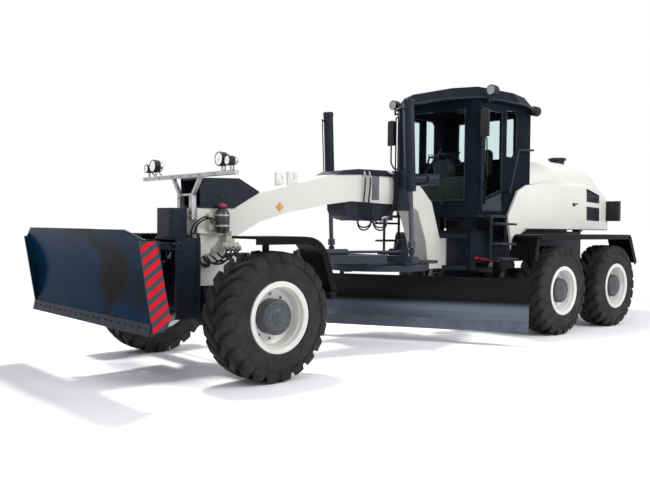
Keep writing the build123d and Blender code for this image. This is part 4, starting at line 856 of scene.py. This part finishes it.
add_lathe(bm, bottle, UP, ((0.3, 0.03), (0.3, 0.046), (0.306, 0.05), (0.326, 0.05), (0.338, 0.042),
    (0.344, 0.02), (0.344, 0)), 24)
placed(bm, "accumulator_cap", BEAM, "black_plastic", MAGENTA)
for z in (1.625, 1.745):
    add_lathe(bm, at(-0.042, 0.285, z), UP, ((0, 0.0846), (0, 0.0875), (0.02, 0.0875),
        (0.02, 0.0846)), 36)
placed(bm, "accumulator_bands", BEAM, "silver")

# Dozer column: flange strips, bolts and pin caps
COLUMN_Y = 0.3505
for way in WAYS:
    for x0, x1 in ((0.56, 0.599), (0.292, 0.33)):
        add_box(bm, x0, x1, COLUMN_Y, 0.362, 0.64, 1.44, way)
    add_bolts(bm, [at(0.44, way * COLUMN_Y, z) for z in (0.72, 0.9, 1.12, 1.3)], (0, way, 0), 0.018)
softened(bm, 0.003, 1)
for way in WAYS:
    for x, z in ((0.56, 0.69), (0.56, 1.4)):
        add_lathe(bm, at(x, way * COLUMN_Y, z), (0, way, 0),
            ((0, 0.052), (0.014, 0.052), (0.018, 0.046), (0.018, 0.022), (0.012, 0.018),
            (0.012, 0)), 24)
for z in (1.56, 1.68, 1.79):
    add_bolts(bm, [at(x, 0.1405, z) for x in (0.365, 0.535)], (0, 1, 0), 0.01)
placed(bm, "column_trim", "dozer_column", "navy_paint")

# Circle drive: bolts on its cap and a ring at its foot
drive_low, drive_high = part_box("circle_drive")
drive_foot = Vector((drive_low.x + 0.105, (drive_low.y + drive_high.y) / 2, drive_low.z))
add_bolts(bm, ring_of(drive_foot + Vector((0, 0, 0.22)), UP, 0.083, 8), UP, 0.012)
add_lathe(bm, drive_foot + Vector((0, 0, 0.02)), UP, ((0, 0.106), (0, 0.118), (0.022, 0.118),
    (0.022, 0.106)), 36)
placed(bm, "circle_drive_bolts", "circle_drive", "navy_paint")

# Cutting edge bolts and end bits on the moldboard
BLADE_ANGLE = radians(31)
CIRCLE_CENTRE = at(-2.89, 0, 0)
ahead = Vector((cos(BLADE_ANGLE), sin(BLADE_ANGLE), 0))
left = Vector((-sin(BLADE_ANGLE), cos(BLADE_ANGLE), 0))


def on_blade(s, n, z):
    """Point s along the blade to the left, n ahead of the circle's middle, at height z."""
    return CIRCLE_CENTRE + ahead * n + left * s + Vector((0, 0, z))


lean = (ahead + Vector((0, 0, 0.2))).normalized()
add_bolts(bm, [on_blade(-1.94 + 0.155 * i, -0.1455, 0.3) for i in range(26)], lean, 0.012)
for s in (-2.01, 1.76):
    add_slab(bm, [on_blade(s, -0.15, 0.338), on_blade(s + 0.37, -0.15, 0.338),
        on_blade(s + 0.37, -0.1225, 0.214), on_blade(s, -0.1225, 0.214)], ahead * 0.008)
placed(bm, "cutting_edge_bolts", "cutting_edge", "edge_steel")


# Cab: seals, panels, rails, wiper, roof edge
CAB = "cab_shell"
CAB_WALL_Y = 0.8205
PANE_HALF, PANE_TOP_Z = 0.598, 3.438
DOOR_PANE = ((-4.301, 2.08), (-4.301, 3.409), (-4.764, 3.409), (-4.764, 2.23))
QUARTER_PANE = ((-4.88, 2.74), (-4.88, 3.46), (-5.09, 3.46), (-5.15, 3.4),
    (-5.15, 2.8), (-5.09, 2.74))
ROOF_EDGE_Z = 3.566
ROOF_EDGE = ((-3.96, 0.42), (-4.18, 0.86), (-5.1, 0.93), (-5.68, 0.8))
for x, foot_z in ((-4.148, 2.062), (-5.552, 2.782)):
    pane = ((PANE_HALF, foot_z), (PANE_HALF, PANE_TOP_Z), (-PANE_HALF, PANE_TOP_Z),
        (-PANE_HALF, foot_z))
    add_tube(bm, facing(x, 1, loop(pane)), 0.011, 8, 0)
for way in WAYS:
    add_tube(bm, on_side(way * CAB_WALL_Y, loop(QUARTER_PANE)), 0.01, 8, 0)
placed(bm, "window_seals", CAB, "black_plastic")
roof_line = [*ROOF_EDGE, *[(x, -y) for x, y in ROOF_EDGE[::-1]]]
add_tube(bm, [at(x, y, ROOF_EDGE_Z) for x, y in loop(roof_line)], 0.016, 8, 0)
add_plate(bm, ((-4.3, 3.735), (-4.33, 3.748), (-5.3, 3.748), (-5.33, 3.735)), -0.5, 0.5)
for way in WAYS:
    add_tube(bm, facing(-4.216, way, ((0.82, 1.95), (0.862, 1.985), (0.862, 2.2), (0.862, 3.3),
        (0.862, 3.42), (0.82, 3.455))), 0.0125, 10, 3)
softened(bm, 0.004, 1)
placed(bm, "roof_rim_and_rails", CAB, "navy_paint")
add_lathe(bm, at(-4.1495, 0.18, 2.02), AHEAD, ((0, 0.026), (0.016, 0.026), (0.022, 0.018),
    (0.026, 0)), 18)
add_tube(bm, [at(-4.13, 0.18, 2.02), at(-4.128, 0.12, 2.25), at(-4.134, -0.02, 2.66)], 0.007, 8, 3)
add_tube(bm, [at(-4.138, 0.16, 2.86), at(-4.135, -0.02, 2.66),
    at(-4.138, -0.19, 2.45)], 0.009, 8, 3)
placed(bm, "wiper", CAB, "black_plastic")
for name, way in SIDES:
    door = "door_" + name
    add_tube(bm, on_side(way * CAB_WALL_Y, loop(DOOR_PANE)), 0.01, 8, 0)
    add_tube(bm, mirrored(way, ((-4.325, 0.82, 3.01), (-4.325, 0.858, 2.98), (-4.33, 0.862, 2.9),
        (-4.345, 0.862, 2.5), (-4.348, 0.858, 2.43), (-4.348, 0.815, 2.4))), 0.01, 8, 4)
    placed(bm, f"door_{name}_seal", door, "black_plastic")
    add_plate(bm, ((-4.29, 1.905), (-4.775, 1.905), (-4.775, 2.18), (-4.29, 2.035)),
        0.8195, 0.824, way)
    softened(bm, 0.002, 1)
    placed(bm, f"door_{name}_panel", door, "navy_paint", PANEL)

# Cab inside: dash, console with wheel and levers, seat
add_plate(bm, ((-4.208, 1.858), (-4.208, 2.33), (-4.25, 2.42), (-4.32, 2.44),
    (-4.322, 1.858)), -0.56, 0.56)
softened(bm, 0.014)
placed(bm, "dash", CAB, "black_plastic")
add_plate(bm, ((-4.33, 1.857), (-4.56, 1.857), (-4.5, 2.655), (-4.33, 2.705)), -0.148, 0.148)
softened(bm, 0.018)
wheel_at, wheel_axis = at(-4.52, 0, 2.724), Vector((-0.5, 0, 1)).normalized()
add_rod(bm, at(-4.45, 0, 2.6), wheel_at, 0.026)
torus = [(0.013 * sin(a), 0.186 + 0.014 * cos(a)) for a in (tau * i / 10 for i in range(11))]
add_lathe(bm, wheel_at, wheel_axis, torus, 40)
add_lathe(bm, wheel_at, wheel_axis, ((-0.02, 0), (-0.016, 0.04), (0.008, 0.044), (0.014, 0.03),
    (0.016, 0)), 20)
for spoke in ring_of(wheel_at, wheel_axis, 0.182, 3, 0.5):
    add_rod(bm, wheel_at, spoke, 0.009, 8)
for way in WAYS:
    for k in range(4):
        foot = at(-4.44, way * (0.03 + 0.034 * k), 2.66)
        tip = at(-4.4, way * (0.12 + 0.062 * k), 2.8)
        add_rod(bm, foot, tip, 0.005, 8)
        add_lathe(bm, tip - Vector((0, 0, 0.006)), (0.1, 0, 1),
            ((0, 0), (0.004, 0.012), (0.018, 0.014), (0.026, 0.008), (0.027, 0)), 12)
placed(bm, "steering_wheel", "steering_console", "black_plastic", replaces=True)


CORNER_POWER = 5


def add_cushion(bm, centre, half, tilt=0, channels=2):
    """Padded block: rounded edges, crowned face, sewn channels across its face."""
    bmesh.ops.create_cube(bm, size=2)
    bmesh.ops.subdivide_edges(bm, edges=bm.edges[:], cuts=15, use_grid_fill=True)
    turn = Matrix.Rotation(tilt, 4, "Y")
    for vert in bm.verts:
        x, y, z = vert.co
        reach = sum(abs(c) ** CORNER_POWER for c in (x, y, z)) ** (1 / CORNER_POWER)
        pull = max(abs(x), abs(y), abs(z)) / reach
        x, y, z = x * pull, y * pull, z * pull
        crown = 1 + 0.3 * (1 - x * x) * (1 - y * y) - 0.15
        for k in range(channels):
            line = -0.45 + 0.9 * k / max(channels - 1, 1)
            crown -= 0.16 * exp(-((y - line) / 0.045) ** 2) * (1 - abs(x) ** 6)
        side_in = 1 - 0.03 * (1 - y * y) * abs(x) ** 8
        point = Vector((x * half[0] * side_in, y * half[1], z * half[2] * crown))
        vert.co = Vector(centre) + turn @ point


add_plate(bm, ((-4.93, 1.857), (-5.27, 1.857), (-5.25, 1.96), (-5.21, 2.225), (-4.97, 2.225),
    (-4.95, 1.96)), -0.165, 0.165)
add_plate(bm, ((-4.86, 2.222), (-5.32, 2.222), (-5.33, 2.255), (-4.85, 2.255)), -0.225, 0.225)
softened(bm, 0.012)
placed(bm, "seat_base", "operator_seat", "black_plastic", replaces=True)
add_cushion(bm, at(-5.08, 0, 2.305), (0.245, 0.238, 0.052))
placed(bm, "seat_cushion", "operator_seat", "seat_fabric")
add_cushion(bm, at(-5.352, 0, 2.655), (0.3, 0.228, 0.046), radians(82))
placed(bm, "seat_back", "operator_seat", "seat_fabric")
for way in WAYS:
    add_plate(bm, ((-4.96, 2.5), (-5.33, 2.52), (-5.33, 2.56), (-4.98, 2.545)), 0.245, 0.19, way)
softened(bm, 0.014)
placed(bm, "seat_arms", "operator_seat", "black_plastic")

# Mirrors: rounded shells with glass, on their bent stalks
for way in WAYS:
    add_slab(bm, facing(-4.152, way, ((0.862, 2.985), (0.998, 2.985), (0.998, 3.375),
        (0.975, 3.398), (0.885, 3.398), (0.862, 3.375))), (-0.056, 0, 0))
softened(bm, 0.018, 3)
for way in WAYS:
    add_tube(bm, mirrored(way, ((-4.228, CAB_WALL_Y, 2.6), (-4.228, 0.87, 2.6),
        (-4.222, 0.9, 2.615), (-4.184, 0.928, 2.7), (-4.18, 0.93, 2.76),
        (-4.18, 0.93, 3))), 0.0135, 12, 4)
placed(bm, "mirror_shells", "mirrors", "black_plastic", replaces=True)
for way in WAYS:
    add_slab(bm, facing(-4.2085, way, ((0.876, 3.003), (0.984, 3.003), (0.984, 3.38),
        (0.876, 3.38))), (-0.0015, 0, 0))
placed(bm, "mirror_glass", "mirrors", "chrome_rod")

# Roof lamps
shells, bowls = bmesh.new(), bmesh.new()
for way in WAYS:
    for x, y, z, forward in ((-4.31, 0.97, 3.67, 1), (-5.5, 0.93, 3.5, -1)):
        back = at(x - 0.05 if forward > 0 else x + 0.06, way * y, z)
        add_lathe(shells, back, (forward, 0, 0), ((-0.034, 0), (-0.03, 0.034), (-0.012, 0.062),
            (0.03, 0.0765), (0.1, 0.078), (0.114, 0.0775), (0.114, 0.068), (0.1, 0.066)), 28)
        add_lathe(bowls, back, (forward, 0, 0), ((0.1115, 0.069), (0.1105, 0.04), (0.11, 0.018),
            (0.112, 0)), 28)
placed(shells, "roof_lamp_shells", "roof_lamps", "black_plastic")
placed(bowls, "roof_lamp_bowls", "roof_lamps", "chrome_rod", LAMP_LENS)


# Fenders: rounded front sheets, and turned edges on the rear ones
def add_fender(bm, path, steps, section, way):
    """Sweeps a section of (y, depth below the outer face) along a smooth (x from axle, z) path."""
    line = eased([(x, 0, z) for x, z in path], steps)
    rings = []
    for i, point in enumerate(line):
        run = (line[min(i + 1, len(line) - 1)] - line[max(i - 1, 0)]).normalized()
        inward = Vector((-run.z, 0, run.x))
        rings.append([at(point.x, way * y, point.z) + inward * depth for y, depth in section])
    add_loft(bm, rings)


FRONT_FENDER = ((0.31, 1.53), (0.1, 1.53), (-0.33, 1.53), (-0.5, 1.5), (-0.61, 1.42),
    (-0.682, 1.29), (-0.79, 0.985), (-0.7995, 0.915), (-0.77, 0.862), (-0.722, 0.838))
FRONT_SECTION = ((0.985, 0), (1.42, 0), (1.42, 0.085), (1.408, 0.085),
    (1.408, 0.028), (0.985, 0.028))
REAR_FENDER = ((-4.776, 1.172), (-4.8, 1.29), (-4.83, 1.43), (-4.862, 1.528), (-4.95, 1.5595),
    (-5.6, 1.56), (-7, 1.56), (-7.72, 1.5595), (-7.825, 1.525), (-7.89, 1.43),
    (-7.98, 1.25), (-8.07, 1.068))
REAR_SECTION = ((1.406, 0), (1.4195, 0), (1.4195, 0.08), (1.406, 0.08))
for name, way in SIDES:
    add_fender(bm, FRONT_FENDER, 5, FRONT_SECTION, way)
    softened(bm, 0.003, 1)
    node = f"front_fender_{name}"
    placed(bm, node + "_sheet", node, "black_plastic", FENDER, True)
for way in WAYS:
    add_fender(bm, REAR_FENDER, 4, REAR_SECTION, way)
placed(bm, "rear_fender_edges", "rear_fenders", "black_plastic", FENDER)

# Hood: louvred vents, rubber edge, latch, cap and tail grille
HOOD = "hood"
VENTS = (((-7.26, 2.35), (-7.69, 2.25), (-7.695, 2.12), (-7.268, 2.135)),
    ((-7.272, 2.037), (-7.698, 2.02), (-7.704, 1.8), (-7.28, 1.812)))
LOUVRE_START, LOUVRE_PITCH = 0.018, 0.0195
SLAT_Z = (2.17, 2.21, 2.25, 1.85, 1.895, 1.94, 1.985)
for way in WAYS:
    for outline in VENTS:
        add_plate(bm, outline, 0.857, 0.86, way)
        low = min(z for x, z in outline)
        high = max(z for x, z in outline[1:])
        count = int((high - low - 0.02) / LOUVRE_PITCH)
        for z in (low + LOUVRE_START + LOUVRE_PITCH * k for k in range(count)):
            x0, x1 = outline[0][0] - 0.006, outline[1][0] + 0.006
            add_slab(bm, [at(x0, way * 0.861, z), at(x1, way * 0.861, z),
                at(x1, way * 0.8765, z - 0.01), at(x0, way * 0.8765, z - 0.01)], (0, 0, 0.003))
        for z in SLAT_Z:
            if low < z < max(p[1] for p in outline):
                add_box(bm, outline[0][0] - 0.002, outline[1][0] + 0.002, 0.8575, 0.873,
                    z - 0.0008, z + 0.009, way)
        add_tube(bm, on_side(way * 0.8795, loop(outline)), 0.0105, 6, 0)
placed(bm, "hood_louvres", HOOD, "navy_paint", VENT_NAVY)
for way in WAYS:
    add_tube(bm, on_side(way * 0.873, ((-8.03, 1.642), (-7, 1.642), (-5.48, 1.642), (-5.37, 1.634),
        (-5.268, 1.598), (-5.222, 1.54), (-5.19, 1.44), (-5.154, 1.318))), 0.009, 8, 4)
    add_plate(bm, ((-6.775, 2.09), (-6.96, 2.09), (-6.96, 2.072), (-6.87, 2.068), (-6.858, 2.036),
        (-6.8, 2.036), (-6.788, 2.066)), 0.8795, 0.8885, way)
    add_tube(bm, on_side(way * 0.62, ((-5.79, 2.69), (-5.8, 2.74), (-5.83, 2.744),
        (-5.845, 2.7))), 0.007, 8, 3)
placed(bm, "hood_edge_and_latch", HOOD, "black_plastic")
# Stations of the raised middle: x from the axle, height of the top, height of the low edges
CROWN = ((-5.615, 2.765, 2.36), (-5.7, 2.785, 2.37), (-5.95, 2.798, 2.4), (-6.3, 2.815, 2.42),
    (-6.65, 2.835, 2.42), (-7, 2.848, 2.42), (-7.3, 2.84, 2.4), (-7.58, 2.795, 2.35),
    (-7.8, 2.715, 2.28), (-7.93, 2.6, 2.12), (-7.985, 2.45, 2.06), (-8.003, 2.24, 2.04))
CROWN_HALF, CROWN_STEPS = 0.775, 28


def crown_ring(x, top, low):
    """Arch with full flanks, from one side's low edge over the top to the other's."""
    turns = [pi * k / CROWN_STEPS for k in range(CROWN_STEPS + 1)]
    return [at(x, CROWN_HALF * copysign(abs(cos(turn)) ** 0.68, cos(turn)),
        low + (top - low) * max(0, sin(turn)) ** 0.8) for turn in turns]


add_loft(bm, [crown_ring(*station) for station in CROWN])
placed(bm, "hood_crown", HOOD, "cream_paint")
add_lathe(bm, at(-7.25, 0.3, 2.84), UP, ((-0.08, 0.125), (0.036, 0.125), (0.04, 0.152),
    (0.046, 0.156), (0.072, 0.156), (0.082, 0.148), (0.084, 0.06), (0.084, 0)), 44)
placed(bm, "filler_cap", HOOD, "black_plastic")
GRILLE_SLATS, GRILLE_PITCH = 13, 0.03
for z in (1.72 + GRILLE_PITCH * k for k in range(GRILLE_SLATS)):
    add_slab(bm, [at(-8.042, -0.64, z), at(-8.042, 0.64, z), at(-8.062, 0.64, z - 0.014),
        at(-8.062, -0.64, z - 0.014)], (0, 0, 0.004))
add_tube(bm, facing(-8.045, 1, loop(((0.66, 1.69), (0.66, 2.11), (-0.66, 2.11),
    (-0.66, 1.69)))), 0.014, 6, 0)
placed(bm, "tail_grille", HOOD, "navy_paint", VENT_NAVY)
for way in WAYS:
    add_slab(bm, facing(-8.0395, way, ((0.9, 1.83), (1.1, 1.83), (1.1, 2.13),
        (0.9, 2.13))), (-0.01, 0, 0))
softened(bm, 0.004)
placed(bm, "tail_lenses", "tail_lamps", "drive_cream", RED)

# Black plate across under the cab's rear: a dark sheet in the place of the shade there, painted
# shade
add_box(bm, -5.5, -5.47, -0.79, 0.79, 1.34, 1.785)
placed(bm, "shade_plate_under_cab", "rear_frame", "black_plastic")

# Rear frame: red lock bar in its clips; steps with raised tread
add_rod(bm, at(-4.66, 0.432, 1.18), at(-5.3, 0.432, 1.12), 0.022, 16)
placed(bm, "lock_bar", "rear_frame", "drive_cream", RED)
for x, z in ((-4.76, 1.17), (-5.2, 1.13)):
    add_box(bm, x - 0.02, x + 0.02, 0.399, 0.46, z - 0.034, z + 0.034)
softened(bm, 0.004)
placed(bm, "lock_bar_clips", "rear_frame", "navy_paint")
STEPS = ((1.72, -4.36), (1.43, -4.36), (1.21, -4.42))
STUD = ((0, 0.013), (0.004, 0.011), (0.0045, 0.007), (0.001, 0.006), (0.001, 0))
STUD_PITCH_X, STUD_PITCH_Y = 0.042, 0.055
for way in WAYS:
    for z, x in STEPS:
        for i in range(9):
            for j in range(3):
                y = 1.095 + STUD_PITCH_Y * j
                foot = at(x - 0.168 + STUD_PITCH_X * i, way * y, z - 0.0005)
                add_lathe(bm, foot, UP, STUD, 10)
placed(bm, "step_tread", "cab_steps", "edge_steel")
